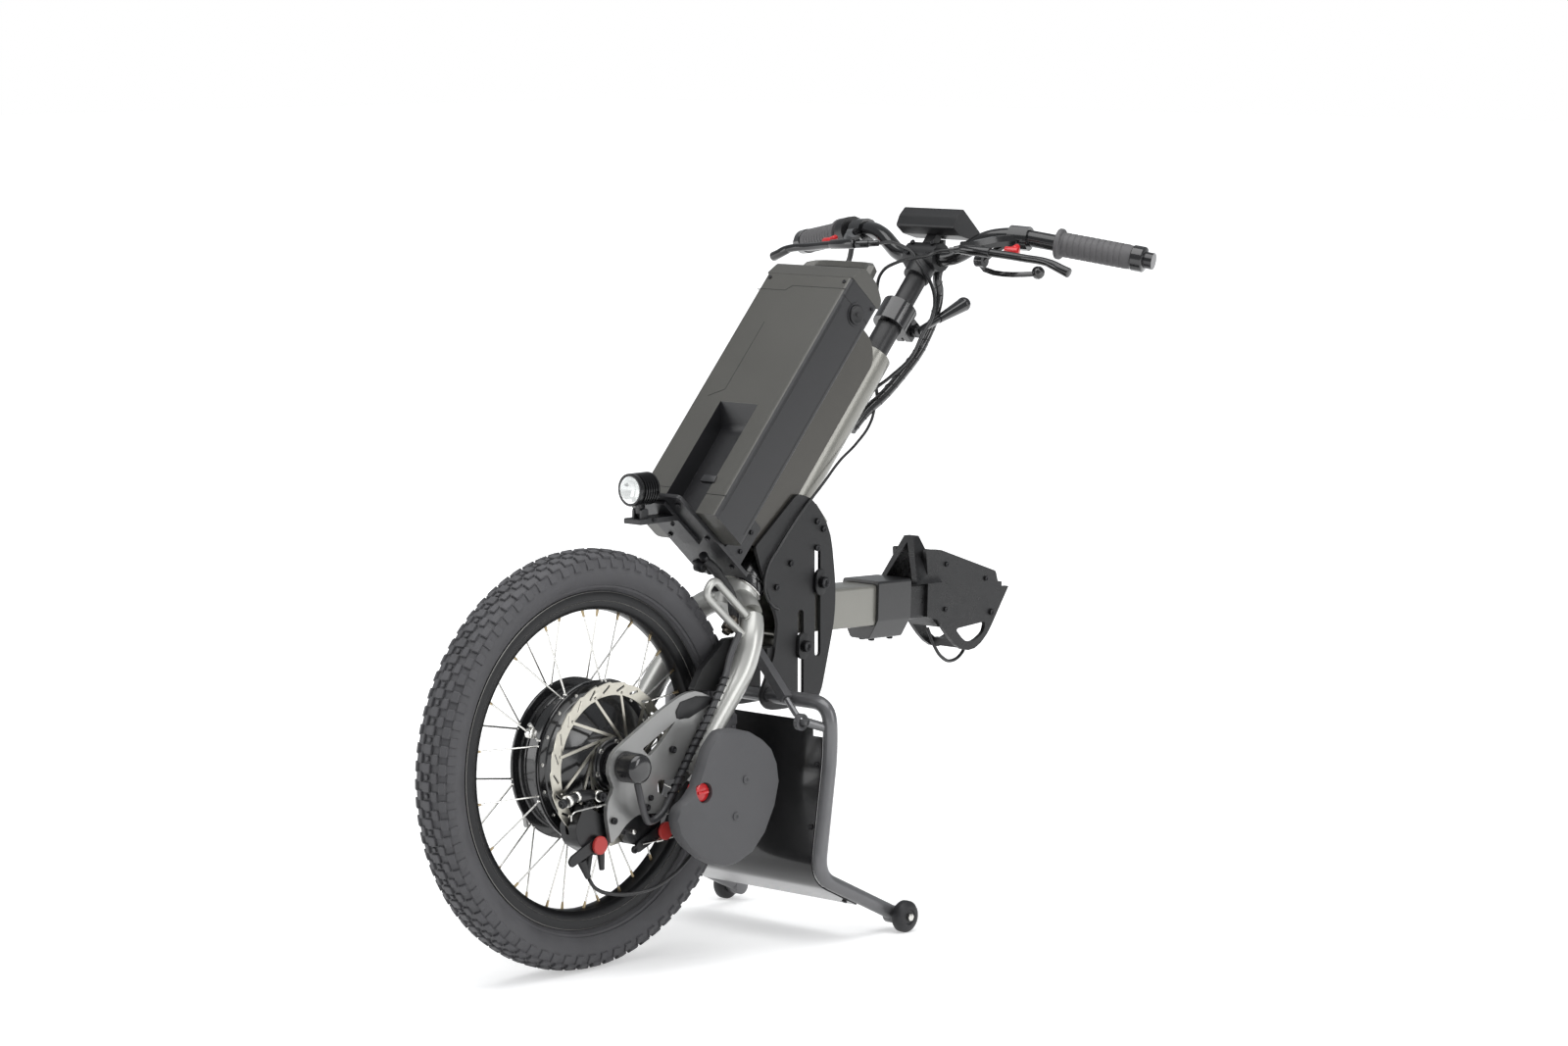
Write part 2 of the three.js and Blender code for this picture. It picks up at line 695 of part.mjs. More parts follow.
function columnTube() {
  const tube = turnedZ([
    [columnBore, cupHeight + seat], [columnRadius, cupHeight + seat], [columnRadius, columnTop],
    [steererRadius + running, columnTop], [steererRadius + running, columnTop - cupRadius / 2],
    [columnBore, columnTop - cupRadius / 2 - overrun],
  ], 24);
  const lugHalf = plateInner - seat;
  const lug = sidePlate(outline([
    [columnRadius * 0.6, 92], [columnRadius + 26, 128], [columnRadius + 22, 146], [columnRadius * 0.6, 150],
  ]), -lugHalf, lugHalf);
  const lowLug = sidePlate(outline([
    [columnRadius * 0.6, 44], [columnRadius + 16, 48], [columnRadius + 18, 66], [columnRadius * 0.6, 76],
  ]), -lugHalf, lugHalf);
  const bore = turnedZ([[0, 0], [columnBore, 0], [columnBore, columnTop / 2], [0, columnTop / 2]], 24);
  return cut(fuse(solid(tube), solid(lug), solid(lowLug)), solid(bore));
}

add(columnFrame, 'column_tube', columnTube(), silver());

add(columnFrame, 'headset_lower', turnedZ([
  [steererRadius + running, seat], [cupRadius * 0.92, seat], [cupRadius, overrun * 2], [cupRadius, cupHeight],
  [steererRadius + running, cupHeight],
], 24), satinBlack());

// Battery cradle: two rails and a front web, with saddles that hold the column

const webRear = batteryFront - batteryDepth - seat;

function cradle() {
  const railShape = outline([
    [-webRear, railBottom, 4], [-railRear - 24, railBottom, 6], [-railRear, railBottom + 16, 6],
    [-railRear, railTop - 20, 10], [-railRear - 22, railTop, 12], [-webRear, railTop, 4],
  ]);
  const left = solid(sidePlate(railShape, railHalfWidth - railWall - seat, railHalfWidth - seat));
  const web = solid(flatPlate(
    outline(box2(-railHalfWidth + railWall, -webRear, railHalfWidth - railWall, -webRear + railWall * 2)),
    railBottom, railTop,
  ));
  const saddle = (z) => solid(flatPlate(
    outline(box2(-railHalfWidth + railWall, -webRear + railWall, railHalfWidth - railWall, -columnRadius * 0.7)), z, z + 30,
  ));
  const clear = turnedZ([[0, 0], [columnRadius + seat, 0], [columnRadius + seat, columnTop + overrun], [0, columnTop + overrun]], 32);
  return cut(fuse(left, mirrorX(left), web, saddle(railBottom + 24), saddle(railTop - 60)), solid(clear));
}

add(columnFrame, 'battery_cradle', cradle(), satinBlack());

// Battery: case with the sloped pocket in its front face, and the end cap with its handle

const batteryRear = batteryFront - batteryDepth;
const pocketTop = 172;
const pocketLeft = 26;
const pocketDepth = 26;

function batteryCase() {
  const section = flatPlate(
    outline(box2(-batteryWidth / 2, -batteryFront, batteryWidth / 2, -batteryRear, batteryCorner)), 0, batteryHeight,
  );
  const pocket = sidePlate(outline([
    [-batteryFront - overrun, -overrun], [-batteryFront - overrun, pocketTop], [-batteryFront, pocketTop, 4],
    [-batteryFront + pocketDepth, pocketTop - pocketDepth, 8], [-batteryFront + pocketDepth, -overrun],
  ]), -pocketLeft, pocketLeft * 1.5);
  return cut(solid(section), solid(pocket));
}

function batteryCap() {
  const half = batteryWidth / 2;
  const top = batteryHeight + seat;
  const lid = solid(sidePlate(outline([
    [-batteryFront, top, 2], [-batteryRear, top, 2], [-batteryRear, top + capHeight * 0.5, 6],
    [-batteryRear - batteryDepth * 0.35, top + capHeight, 8], [-batteryFront + batteryDepth * 0.12, top + capHeight, 6],
  ]), -half, half));
  const handleHalf = half - 18;
  const handle = solid(bentHandle(handleHalf, top + capHeight));
  return fuse(lid, handle);
}

function bentHandle(half, base) {
  const rise = 26;
  const middle = -batteryRear - batteryDepth * 0.42;
  const points = [
    at(-half, middle, base - overrun * 2), at(-half, middle, base + rise * 0.6), at(-half + 16, middle + 6, base + rise),
    at(half - 16, middle + 6, base + rise), at(half, middle, base + rise * 0.6), at(half, middle, base - overrun * 2),
  ];
  return bent(points, 8, { sides: 6, steps: 14, tension: 0.3 });
}

add(columnFrame, 'battery_case', batteryCase(), satinBlack());
add(columnFrame, 'battery_cap', batteryCap(), satinBlack());

const portDrop = 31;
const portRise = batteryHeight - portDrop;
const portSetback = 129;
const portRadius = 12;
add(columnFrame, 'charge_flap', turnedX([
  [batteryWidth / 2 + seat, 0], [batteryWidth / 2 + seat, portRadius], [batteryWidth / 2 + 3, portRadius],
  [batteryWidth / 2 + 4, portRadius - 1.5], [batteryWidth / 2 + 4, 0],
], 18).translate(0, -portSetback, portRise), rubber());

// Tray under the battery, with gussets that reach up beside the rails

function tray() {
  const plate = flatPlate(outline([
    [-trayHalfWidth, -trayFront, 6], [trayHalfWidth, -trayFront, 6], [trayHalfWidth, -trayRear, 6],
    [-trayHalfWidth, -trayRear, 6],
  ]), -seat - trayThickness, -seat);
  const gusset = solid(sidePlate(outline([
    [-90, -seat - trayThickness / 2], [-50, -seat - trayThickness / 2], [-50, 62, 4], [-72, 62, 4],
  ]), railHalfWidth, railHalfWidth + railWall));
  return fuse(solid(plate), gusset, mirrorX(gusset));
}

add(columnFrame, 'battery_tray', tray(), satinBlack());

// Slotted plates: the docking arm's bolts slide in their two slots

const plateCorners = [
  [70, 118, 8], [98, 110, 16], [133, 69, 30], [143, -6, 40], [141, -50, 30], [116, -140, 10], [104, -156, 8],
  [34, -156, 12], [12, -154, 12], [-1, -137, 12], [12, -112, 8], [26, -88, 8], [34, -42, 12], [12, 0, 12], [-9, 57, 4],
];

function slotHole(centre, bottom, top) {
  const half = slotWidth / 2;
  return outline(box2(centre - half, bottom, centre + half, top, half * 0.99), THREE.Path);
}

function slottedPlate() {
  const shape = outline(plateCorners);
  shape.holes.push(slotHole(rearSlot, rearSlotBottom, rearSlotTop), slotHole(frontSlot, frontSlotBottom, frontSlotTop));
  const body = solid(sidePlate(shape, plateInner, plateInner + plateThickness, 3));
  const hinge = rod(
    at(0, standHingeBack, -standHingeDrop), at(plateInner * 2, standHingeBack, -standHingeDrop),
    (standTubeRadius + running) / Math.cos(Math.PI / 12), 12,
  );
  return cut(body, solid(hinge));
}

// The left plate also carries the lug for the stand's strut
const strutLug = new THREE.BoxGeometry(plateInner - 12 + 1, 24, 14).translate((plateInner + 13) / 2, 29.2, -82);
add(crownFrame, 'slotted_plate_left', fuse(slottedPlate(), solid(strutLug)), satinBlack());
add(crownFrame, 'slotted_plate_right', mirrorX(slottedPlate()), satinBlack());

// Docking arm: square tube, its two cross bushes with their bolts, collar, inner tube and head

const armFrame = new THREE.Group();
const boltRise = 1;
armFrame.position.set(0, rearSlot, boltRise - armBoltRise);
armFrame.rotation.x = -radians(armTilt);
crownFrame.add(armFrame);

// A point of the crown frame's Y-Z plane, told in the leaning arm frame
function inArm(y, z) {
  const point = at(0, y, z).sub(armFrame.position).applyAxisAngle(at(1, 0, 0), radians(armTilt));
  return [point.y, point.z];
}

function squareTube(side, wall, y0, y1) {
  const half = side / 2;
  const shape = outline(box2(-half, -half, half, half, wall * 2));
  shape.holes.push(outline(box2(-half + wall, -half + wall, half - wall, half - wall, wall), THREE.Path));
  return frontPlate(shape, y0, y1, 2);
}

function armTube() {
  const tube = solid(squareTube(armSide, armWall, -armFront, armRear));
  const bushRadius = 12;
  const boltRadius = slotWidth / 2 - running;
  const washerOuter = plateInner + plateThickness + seat;
  const cross = (y, z) => {
    const bush = rod(at(-plateInner + seat, y, z), at(plateInner - seat, y, z), bushRadius, 12);
    const bolt = rod(at(-washerOuter - 12, y, z), at(washerOuter + 12, y, z), boltRadius, 8);
    const washer = sidePlate(outline(box2(y - 9, z - 15, y + 9, z + 15, 8.9)), washerOuter, washerOuter + 5, 2);
    const web = new THREE.BoxGeometry(bushRadius * 2, bushRadius * 1.4, bushRadius)
      .translate(0, y, z - Math.sign(z) * bushRadius);
    return fuse(solid(bush), solid(bolt), solid(washer), mirrorX(solid(washer)), solid(web));
  };
  const hollow = armSide / 2 - armWall;
  const inside = new THREE.BoxGeometry(hollow * 2, armFront + armRear + overrun * 2, hollow * 2)
    .translate(0, (armRear - armFront) / 2, 0);
  const crossed = fuse(cross(...inArm(rearSlot, boltRise)), cross(...inArm(frontSlot, boltRise - 2 * armBoltRise)));
  return fuse(tube, cut(crossed, solid(inside)));
}

add(armFrame, 'arm_tube', armTube(), silver());

function armCollar() {
  const half = armSide / 2 + seat;
  const outerHalf = half + collarWall;
  const shape = outline([
    [-outerHalf, outerHalf, 4], [-outerHalf, -outerHalf * 0.6, 3], [-16, -outerHalf - 14, 3], [16, -outerHalf - 14, 3],
    [outerHalf, -outerHalf * 0.6, 3], [outerHalf, outerHalf, 4],
  ]);
  shape.holes.push(outline(box2(-half, -half, half, half, armWall * 2), THREE.Path));
  return frontPlate(shape, armRear - collarLength / 2, armRear + collarLength, 2);
}

add(armFrame, 'arm_collar', cut(solid(armCollar())), satinBlack());

const innerSide = armSide - 2 * armWall - 2 * running;

const headCorners = [
  [222, 26, 0], [216, 68, 4], [246, 66, 4], [361, 31, 3], [366, 16, 2], [374, 16, 1], [374, 9, 1], [389, 9, 2],
  [347, -54, 12], [322, -73, 14], [294, -72, 14], [270, -55, 14], [244, -27, 3], [222, -22, 0],
];
const headWindow = [[280, -42, 6], [342, -36, 4], [340, -50, 8], [318, -62, 8], [300, -60, 8]];

function dockingHead() {
  const half = innerSide / 2;
  const tube = solid(squareTube(innerSide, armWall, armRear - innerArmFront * 4, 250));
  const shape = outline(headCorners);
  shape.holes.push(outline(headWindow, THREE.Path));
  const cheek = solid(sidePlate(shape, half - 0.4, half - 0.4 + headPlateThickness, 2));
  const roof = solid(sidePlate(outline([[225, 60], [246, 60], [358, 26], [359, 31], [246, 65], [225, 66]]), -half, half));
  const floor = solid(sidePlate(outline([[236, -24], [252, -38], [262, -38], [250, -22]]), -half, half));
  const guide = dockingGuide();
  const hook = solid(new THREE.BoxGeometry(half * 2, 12, 10).translate(0, 300, -64));
  return fuse(tube, cheek, mirrorX(cheek), roof, floor, guide, hook);
}

// Tent-shaped guide welded on top of the inner tube, with its sloped ends
function dockingGuide() {
  const base = innerSide / 2 - 1;
  const rise = 84;
  const half = 34;
  const wall = 5;
  const shape = outline([
    [-half, base], [-8, rise], [8, rise], [half, base], [half - wall * 1.6, base], [0, rise - wall * 1.6], [-half + wall * 1.6, base],
  ]);
  const tent = solid(frontPlate(shape, 192, 250));
  const slopes = [-1, 1].map((side) => {
    const block = new THREE.BoxGeometry(200, 60, 200).translate(0, side * 30, 0).rotateX(side * radians(18));
    return solid(block.translate(0, side < 0 ? 196 : 244, base + 4));
  });
  return cut(tent, ...slopes);
}

add(armFrame, 'docking_head', dockingHead(), satinBlack());

const latchPivot = [346, -20];

function dockingLatch() {
  const half = innerSide / 2 - running * 1.4;
  const hook = sidePlate(outline([
    [latchPivot[0] - 9, latchPivot[1] - 9, 5], [latchPivot[0] + 8, latchPivot[1] - 8, 5],
    [latchPivot[0] + 10, latchPivot[1] + 20, 4], [latchPivot[0] + 2, latchPivot[1] + 34, 2],
    [latchPivot[0] - 4, latchPivot[1] + 20, 3], [latchPivot[0] - 40, latchPivot[1] + 10, 3],
    [latchPivot[0] - 40, latchPivot[1], 3],
  ]), -8, 8);
  const pin = rod(at(-half, ...latchPivot), at(half, ...latchPivot), 5, 12);
  return fuse(solid(hook), solid(pin));
}

add(armFrame, 'docking_latch', dockingLatch(), steel());

// Stand: one hoop of tube, hinged in the plates by its top bar, with the curved panel and two rollers

const standKnee = [30, -186];
const standAnkle = [10, -330];
const rollerBack = 140;
const rollerDrop = crownHeightAboveGround - rollerRadius;

function standFrame() {
  const side = (s) => [
    at(s * standHalfWidth, standHingeBack, -standHingeDrop), at(s * standHalfWidth, ...standKnee),
    at(s * standHalfWidth, ...standAnkle), at(s * standHalfWidth, rollerBack - 4, -rollerDrop + 3),
  ];
  const hoop = solid(bentTube([...side(-1).reverse(), ...side(1)], standTubeRadius, 28, { sides: 8, bendSteps: 3 }));
  const axles = [1, -1].map((s) => solid(rod(
    at(s * (standHalfWidth - standTubeRadius), rollerBack, -rollerDrop),
    at(s * (rollerTrack + rollerWidth / 2 + seat), rollerBack, -rollerDrop), 4, 10,
  )));
  const hubs = [1, -1].map((s) => solid(rod(
    at(s * (standHalfWidth - standTubeRadius - 2), rollerBack, -rollerDrop),
    at(s * (rollerTrack - rollerWidth / 2 - running), rollerBack, -rollerDrop), 11, 14,
  )));
  const pin = solid(rod(at(106, -8, -158), at(126, -8, -158), 4, 10));
  const neck = solid(rod(at(124, -9, -157), at(standHalfWidth, 26, -170), 6, 8));
  return fuse(hoop, ...axles, ...hubs, pin, neck);
}

add(crownFrame, 'stand_frame', standFrame(), darkGrey());

function standPanel() {
  const offset = standTubeRadius + panelThickness + seat;
  const front = [
    [standKnee[0] - offset - 9, -173], [standAnkle[0] - offset, -300], [standAnkle[0] - offset + 2, -326],
    [standAnkle[0] + 6, -352], [58, -388],
  ];
  const back = front.map(([y, z]) => [y + panelThickness * 0.9, z + panelThickness * 0.5]).reverse();
  return sidePlate(outline([...front, ...back].map(([y, z]) => [y, z, 0])), -panelHalfWidth, panelHalfWidth);
}

add(crownFrame, 'stand_panel', standPanel(), glossBlack());

const rollerProfile = [
  [-rollerWidth / 2, 4 + running], [-rollerWidth / 2, rollerRadius * 0.75], [-rollerWidth / 4, rollerRadius],
  [rollerWidth / 4, rollerRadius], [rollerWidth / 2, rollerRadius * 0.75], [rollerWidth / 2, 4 + running],
];
[['left', 1], ['right', -1]].forEach(([word, side]) => {
  const roller = turnedX(rollerProfile, 18).translate(side * rollerTrack, rollerBack, -rollerDrop);
  add(crownFrame, `stand_roller_${word}`, roller, rubber());
});

// Strut from the lug inside the left plate to the pin on the stand's left tube

const strutFrom = at(20, 10, -80);
const strutTo = at(112, -8, -158);
const strutWay = strutTo.clone().sub(strutFrom).normalize();
const strutPoint = (distance) => strutFrom.clone().addScaledVector(strutWay, distance);
const sleeveLength = 82;
add(crownFrame, 'strut_sleeve', squareBar(strutPoint(0), strutPoint(sleeveLength), 13), satinBlack());

function strutRod() {
  const reach = strutTo.distanceTo(strutFrom);
  const bar = solid(rod(strutPoint(sleeveLength + seat), strutPoint(reach - 7), 4, 8));
  const eye = solid(rod(at(109, strutTo.y, strutTo.z), at(115, strutTo.y, strutTo.z), 11, 16));
  const hole = solid(rod(at(100, strutTo.y, strutTo.z), at(130, strutTo.y, strutTo.z), 6.5, 16));
  return cut(fuse(bar, eye), hole);
}

add(crownFrame, 'strut_rod', strutRod(), darkGrey());

// Headlight on its bracket, in the crown frame

const lightBack = -199;
const lightRise = 142;
const lightRadius = 20.5;
const lightLength = 38;

function turnedY(profile, segments) {
  const points = profile.map(([y, r]) => new THREE.Vector2(r, y));
  points.push(points[0].clone());
  return new THREE.LatheGeometry(points, segments);
}

const lightFoot = [8, 10, 14];
const lightPivotDrop = 27;
const lightBody = turnedY([
  [4, 0], [4, lightRadius * 0.84], [0, lightRadius * 0.84], [0, lightRadius], [lightLength * 0.8, lightRadius],
  [lightLength, lightRadius * 0.8], [lightLength, 0],
], 20).translate(0, lightBack, lightRise);
const lightTab = new THREE.BoxGeometry(...lightFoot).translate(0, lightBack + lightLength / 2, lightRise - lightPivotDrop + 3);
add(crownFrame, 'headlight', fuse(solid(lightBody), solid(lightTab)), satinBlack());

add(crownFrame, 'headlight_lens', turnedY([
  [0.4, 0], [0.4, lightRadius * 0.8], [3.7, lightRadius * 0.8], [3.7, 0],
], 18).translate(0, lightBack, lightRise), material(0xe8e8e4, 0.2, 0));

// A point of the column frame's Y-Z plane, told in the crown frame
const fromColumn = (m, s) => [m * tiltCos + s * tiltSin, s * tiltCos - m * tiltSin];

function lightBracket() {
  const deck = lightRise - lightPivotDrop - 9;
  const deckThickness = 7;
  const strapTop = -trayThickness - 2 * seat;
  const strapLow = strapTop - 5;
  const strapFront = -trayFront + 8;
  const strapBack = -110;
  const onStrapLow = (height) => (strapLow * tiltCos - height) / tiltSin;
  const middle = lightBack + lightLength / 2;
  const base = sidePlate(outline([
    [lightBack + 4, deck - deckThickness, 2], [lightBack + 4, deck, 2], fromColumn(onStrapLow(deck), strapLow),
    fromColumn(strapFront, strapLow), fromColumn(strapFront, strapTop), fromColumn(strapBack, strapTop),
    fromColumn(strapBack, strapLow), fromColumn(onStrapLow(deck - deckThickness), strapLow),
  ]), -14, 14);
  const ear = solid(sidePlate(outline([
    [middle - 6, deck - 1], [middle + 6, deck - 1], [middle + 6, deck + 12, 4], [middle - 6, deck + 12, 4],
  ]), lightFoot[0] / 2 + running, lightFoot[0] / 2 + running + 4));
  return fuse(solid(base), ear, mirrorX(ear));
}

add(crownFrame, 'light_bracket', lightBracket(), satinBlack());

// Clamp collar and quick-release lever at the top of the steerer

function stemClamp() {
  const ring = turnedZ([
    [steererRadius + seat, steererTop - 20], [24, steererTop - 20], [24, steererTop + 14], [stemRadius + running, steererTop + 14],
    [stemRadius + running, steererTop + seat], [steererRadius + seat, steererTop + seat],
  ], 20);
  const ears = new THREE.BoxGeometry(26, 20, 26).translate(0, 28, steererTop - 2);
  const split = new THREE.BoxGeometry(3, 60, 60).translate(0, 34, steererTop);
  const bolt = rod(at(-20, 31, steererTop - 2), at(20, 31, steererTop - 2), 4 + seat, 10);
  const clear = turnedZ([[0, 0], [steererRadius + seat, 0], [steererRadius + seat, steererTop + seat], [0, steererTop + seat]], 20);
  return cut(fuse(solid(ring), solid(ears)), solid(clear), solid(split), solid(bolt));
}

add(columnFrame, 'stem_clamp', stemClamp(), glossBlack());

function clampLever() {
  const bolt = rod(at(-17, 31, steererTop - 2), at(17, 31, steererTop - 2), 4, 10);
  const cam = rod(at(13.6, 31, steererTop - 2), at(21, 31, steererTop - 2), 8, 14);
  const arm = bent([
    at(19, 31, steererTop - 2), at(19, 44, steererTop + 22), at(20, 60, steererTop + 50), at(20, 76, steererTop + 78),
  ], 5, { sides: 6, steps: 5 });
  const ball = new THREE.SphereGeometry(10, 10, 6).translate(20, 76, steererTop + 78);
  return fuse(solid(bolt), solid(cam), solid(arm), solid(ball));
}

add(columnFrame, 'clamp_lever', clampLever(), glossBlack());

// Stem tube with its bar clamp, sliding in the steerer

function stemHead() {
  const tube = solid(turnedZ([
    [0, steererTop - stemInsert], [stemRadius, steererTop - stemInsert], [stemRadius, barClampRise], [0, barClampRise],
  ], 20));
  const head = solid(rod(at(-26, -4, barClampRise), at(26, -4, barClampRise), 19, 16));
  const neck = solid(rod(at(0, -2, barClampRise - 34), at(0, -2, barClampRise), 18, 16));
  const post = solid(new THREE.BoxGeometry(16, 12, 34).translate(0, -10, barClampRise + 24));
  const bore = solid(rod(at(-60, -4, barClampRise), at(60, -4, barClampRise), (barRadius + seat) / Math.cos(Math.PI / 12), 12));
  return cut(fuse(tube, head, neck, post), bore);
}

add(columnFrame, 'stem_head', stemHead(), glossBlack());

const barEndReach = 6;
const barHalf = [[46, -4, 0], [92, -12, 30], [128, -8, 40], [gripOuter + barEndReach, 61, 62]];
const barPoints = [
  ...barHalf.map(([x, y, z]) => at(-x, y, barClampRise + z)).reverse(),
  ...barHalf.map(([x, y, z]) => at(x, y, barClampRise + z)),
];
const barBend = 17;
const barTube = (radius) => bentTube(barPoints, radius, barBend, { sides: 10, bendSteps: 3 });

add(columnFrame, 'handlebar', barTube(barRadius), glossBlack());

const [bendEnd, barEnd] = barHalf.slice(-2).map(([x, y, z]) => at(x, y, barClampRise + z));
const gripPoint = (x, side = 1) => {
  const point = bendEnd.clone().lerp(barEnd, (x - bendEnd.x) / (barEnd.x - bendEnd.x));
  return at(side * point.x, point.y, point.z);
};

function grip(side) {
  const sleeve = solid(rod(gripPoint(gripInner + 6, side), gripPoint(gripOuter - 14, side), gripRadius, 12));
  const flange = solid(rod(gripPoint(gripInner, side), gripPoint(gripInner + 7, side), gripRadius * 1.25, 12));
  const ring = solid(rod(gripPoint(gripOuter - 15, side), gripPoint(gripOuter, side), gripRadius * 1.05, 12));
  const boreFrom = gripPoint(gripInner - overrun * 4, side);
  const boreTo = gripPoint(gripOuter + barEndReach + overrun, side);
  const bore = solid(rod(boreFrom, boreTo, (barRadius + seat) / Math.cos(Math.PI / 12), 12));
  return cut(fuse(sleeve, flange, ring), bore);
}

add(columnFrame, 'grip_left', grip(1), rubber());
add(columnFrame, 'grip_right', grip(-1), rubber());

// Brake lever perches, clamped round the bar, and the levers that turn in them

const leverPivot = [104, -42, barClampRise - 14];
const barClear = () => solid(barTube(barRadius + seat));

const leverAxis = at(0, -0.73, 0.68).normalize();
const leverTravel = 16;
const leverSteps = 4;
const leverBladeRadius = 5.5;

function leverBlade(radius) {
  const [x, y, z] = leverPivot;
  return bent([
    at(x - 8, y, z), at(x + 30, y + 5, z + 1), at(x + 80, y + 17, z + 5), at(x + 130, y + 22, z + 4), at(x + 152, y + 30, z + 1),
  ], radius, { sides: 6, steps: 8 });
}

// The room that the lever sweeps in its perch
function leverSweep() {
  return Array.from({ length: leverSteps + 1 }, (_, i) => {
    const turn = new THREE.Matrix4().makeRotationAxis(leverAxis, radians((leverTravel * i) / leverSteps));
    const blade = leverBlade(leverBladeRadius + running * 1.2).translate(...leverPivot.map((v) => -v));
    return solid(blade.applyMatrix4(turn).translate(...leverPivot));
  });
}

const parkPivot = [100, -12, barClampRise - 8];
const parkPin = (along) => at(parkPivot[0] + along, parkPivot[1], parkPivot[2]);

// The left perch also carries the pin of the parking lever
function parkLug() {
  const pin = rod(parkPin(-4), parkPin(10), 3.5, 10);
  const lug = rod(parkPin(3 + running), parkPin(10), 8, 14);
  const arm = bent([
    at(parkPivot[0] + 7, parkPivot[1], parkPivot[2]), at(parkPivot[0] + 14, parkPivot[1] + 1, parkPivot[2] + 16),
    at(parkPivot[0] + 28, parkPivot[1] + 3, parkPivot[2] + 34),
  ], 4.5, { sides: 6, steps: 4 });
  return fuse(solid(pin), solid(lug), solid(arm));
}

function perch() {
  const clamp = rod(at(124, -6, barClampRise + 38), at(150, 1, barClampRise + 42), 16, 12);
  const body = bent([
    at(136, -8, barClampRise + 32), at(124, -30, barClampRise + 10), at(110, -38, barClampRise - 4), at(92, -44, barClampRise - 12),
  ], 8, { sides: 6, steps: 5 });
  return cut(fuse(solid(clamp), solid(body)), barClear(), ...leverSweep());
}

add(columnFrame, 'lever_perch_left', fuse(perch(), cut(parkLug(), barClear())), glossBlack());
add(columnFrame, 'lever_perch_right', mirrorX(perch()), glossBlack());

function brakeLever() {
  const [x, y, z] = leverPivot;
  const blade = solid(leverBlade(leverBladeRadius));
  const tip = solid(new THREE.SphereGeometry(7, 8, 5).translate(x + 152, y + 30, z + 1));
  return fuse(blade, tip);
}

add(columnFrame, 'brake_lever_left', brakeLever(), glossBlack());
add(columnFrame, 'brake_lever_right', mirrorX(brakeLever()), glossBlack());

// Throttle drum inboard of the right grip, and the ball-ended parking lever on the left

const throttle = cut(
  fuse(
    solid(rod(gripPoint(160, -1), gripPoint(178, -1), 20, 14)),
    solid(bent([gripPoint(168, -1).add(at(0, 12, -8)), gripPoint(176, -1).add(at(0, 26, -22)), gripPoint(188, -1).add(at(0, 34, -26))], 4, { sides: 6, steps: 6 })),
  ),
  solid(rod(gripPoint(140, -1), gripPoint(200, -1), (barRadius + seat) / Math.cos(Math.PI / 12), 12)),
);
add(columnFrame, 'throttle', throttle, glossBlack());

function parkLever() {
  const eye = solid(rod(parkPin(-3), parkPin(3), 8, 14));
  const arm = solid(bent([
    at(parkPivot[0] - 2, parkPivot[1] + 4, parkPivot[2]), at(parkPivot[0] - 1, parkPivot[1] + 18, parkPivot[2]),
    at(parkPivot[0] + 14, parkPivot[1] + 26, parkPivot[2] + 1), at(parkPivot[0] + 38, parkPivot[1] + 32, parkPivot[2] + 5),
    at(parkPivot[0] + 60, parkPivot[1] + 40, parkPivot[2] + 14),
  ], 4, { sides: 6, steps: 6 }));
  const ball = solid(new THREE.SphereGeometry(9, 10, 6).translate(parkPivot[0] + 64, parkPivot[1] + 42, parkPivot[2] + 18));
  const bore = solid(rod(parkPin(-20), parkPin(20), 3.5 + running, 14));
  return cut(fuse(eye, arm, ball), bore);
}

add(columnFrame, 'park_lever', parkLever(), glossBlack());

// Display on the post above the clamp

function display() {
  const half = 50;
  const low = barClampRise + 42;
  const shell = sidePlate(outline([
    [-38, low, 3], [-34, low - 15, 3], [-16, low - 14, 2], [10, low - 1, 2], [13, low + 15, 3], [-36, low + 16, 3],
  ]), -half, half);
  const seatCut = new THREE.BoxGeometry(17, 14, 40).translate(0, -10, barClampRise + 22);
  return cut(solid(shell), solid(seatCut));
}

add(columnFrame, 'display', display(), satinBlack());

// Cables held along their whole route

const bundle = [
  at(0, 34, 532), at(0, 46, 524), at(0, 60, 500), at(0, 68, 470), at(0, 68, 436), at(0, 62, 396), at(0, 52, 352),
  at(0, 38, 312), at(0, 32, 280),
];
add(columnFrame, 'cable_bundle', bent(bundle, 6.5, { sides: 8, steps: 16 }), glossBlack());

const motorLead = [
  at(94, 2, -16.7), at(96, 3, -27), at(98, 6, -44), at(97, 17, -63), at(93, 36, -73), at(86, 54, -68), at(82, 72, -48),
  at(82, 92, -20), at(82, 112, 8), at(83, 135, 40), at(82, 157, 69), at(77, 176, 90), at(70, 194, 117), at(67, 212, 140),
];
add(wheelFrame, 'motor_cable', bent(motorLead, 4.5, { sides: 6, steps: 24 }), darkGrey());

group.updateMatrixWorld(true);
const bounds = new THREE.Box3().setFromObject(group, true);
group.position.y = -(bounds.min.y + bounds.max.y) / 2;

export default group;
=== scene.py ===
import math

import bpy
from mathutils import Matrix, Vector


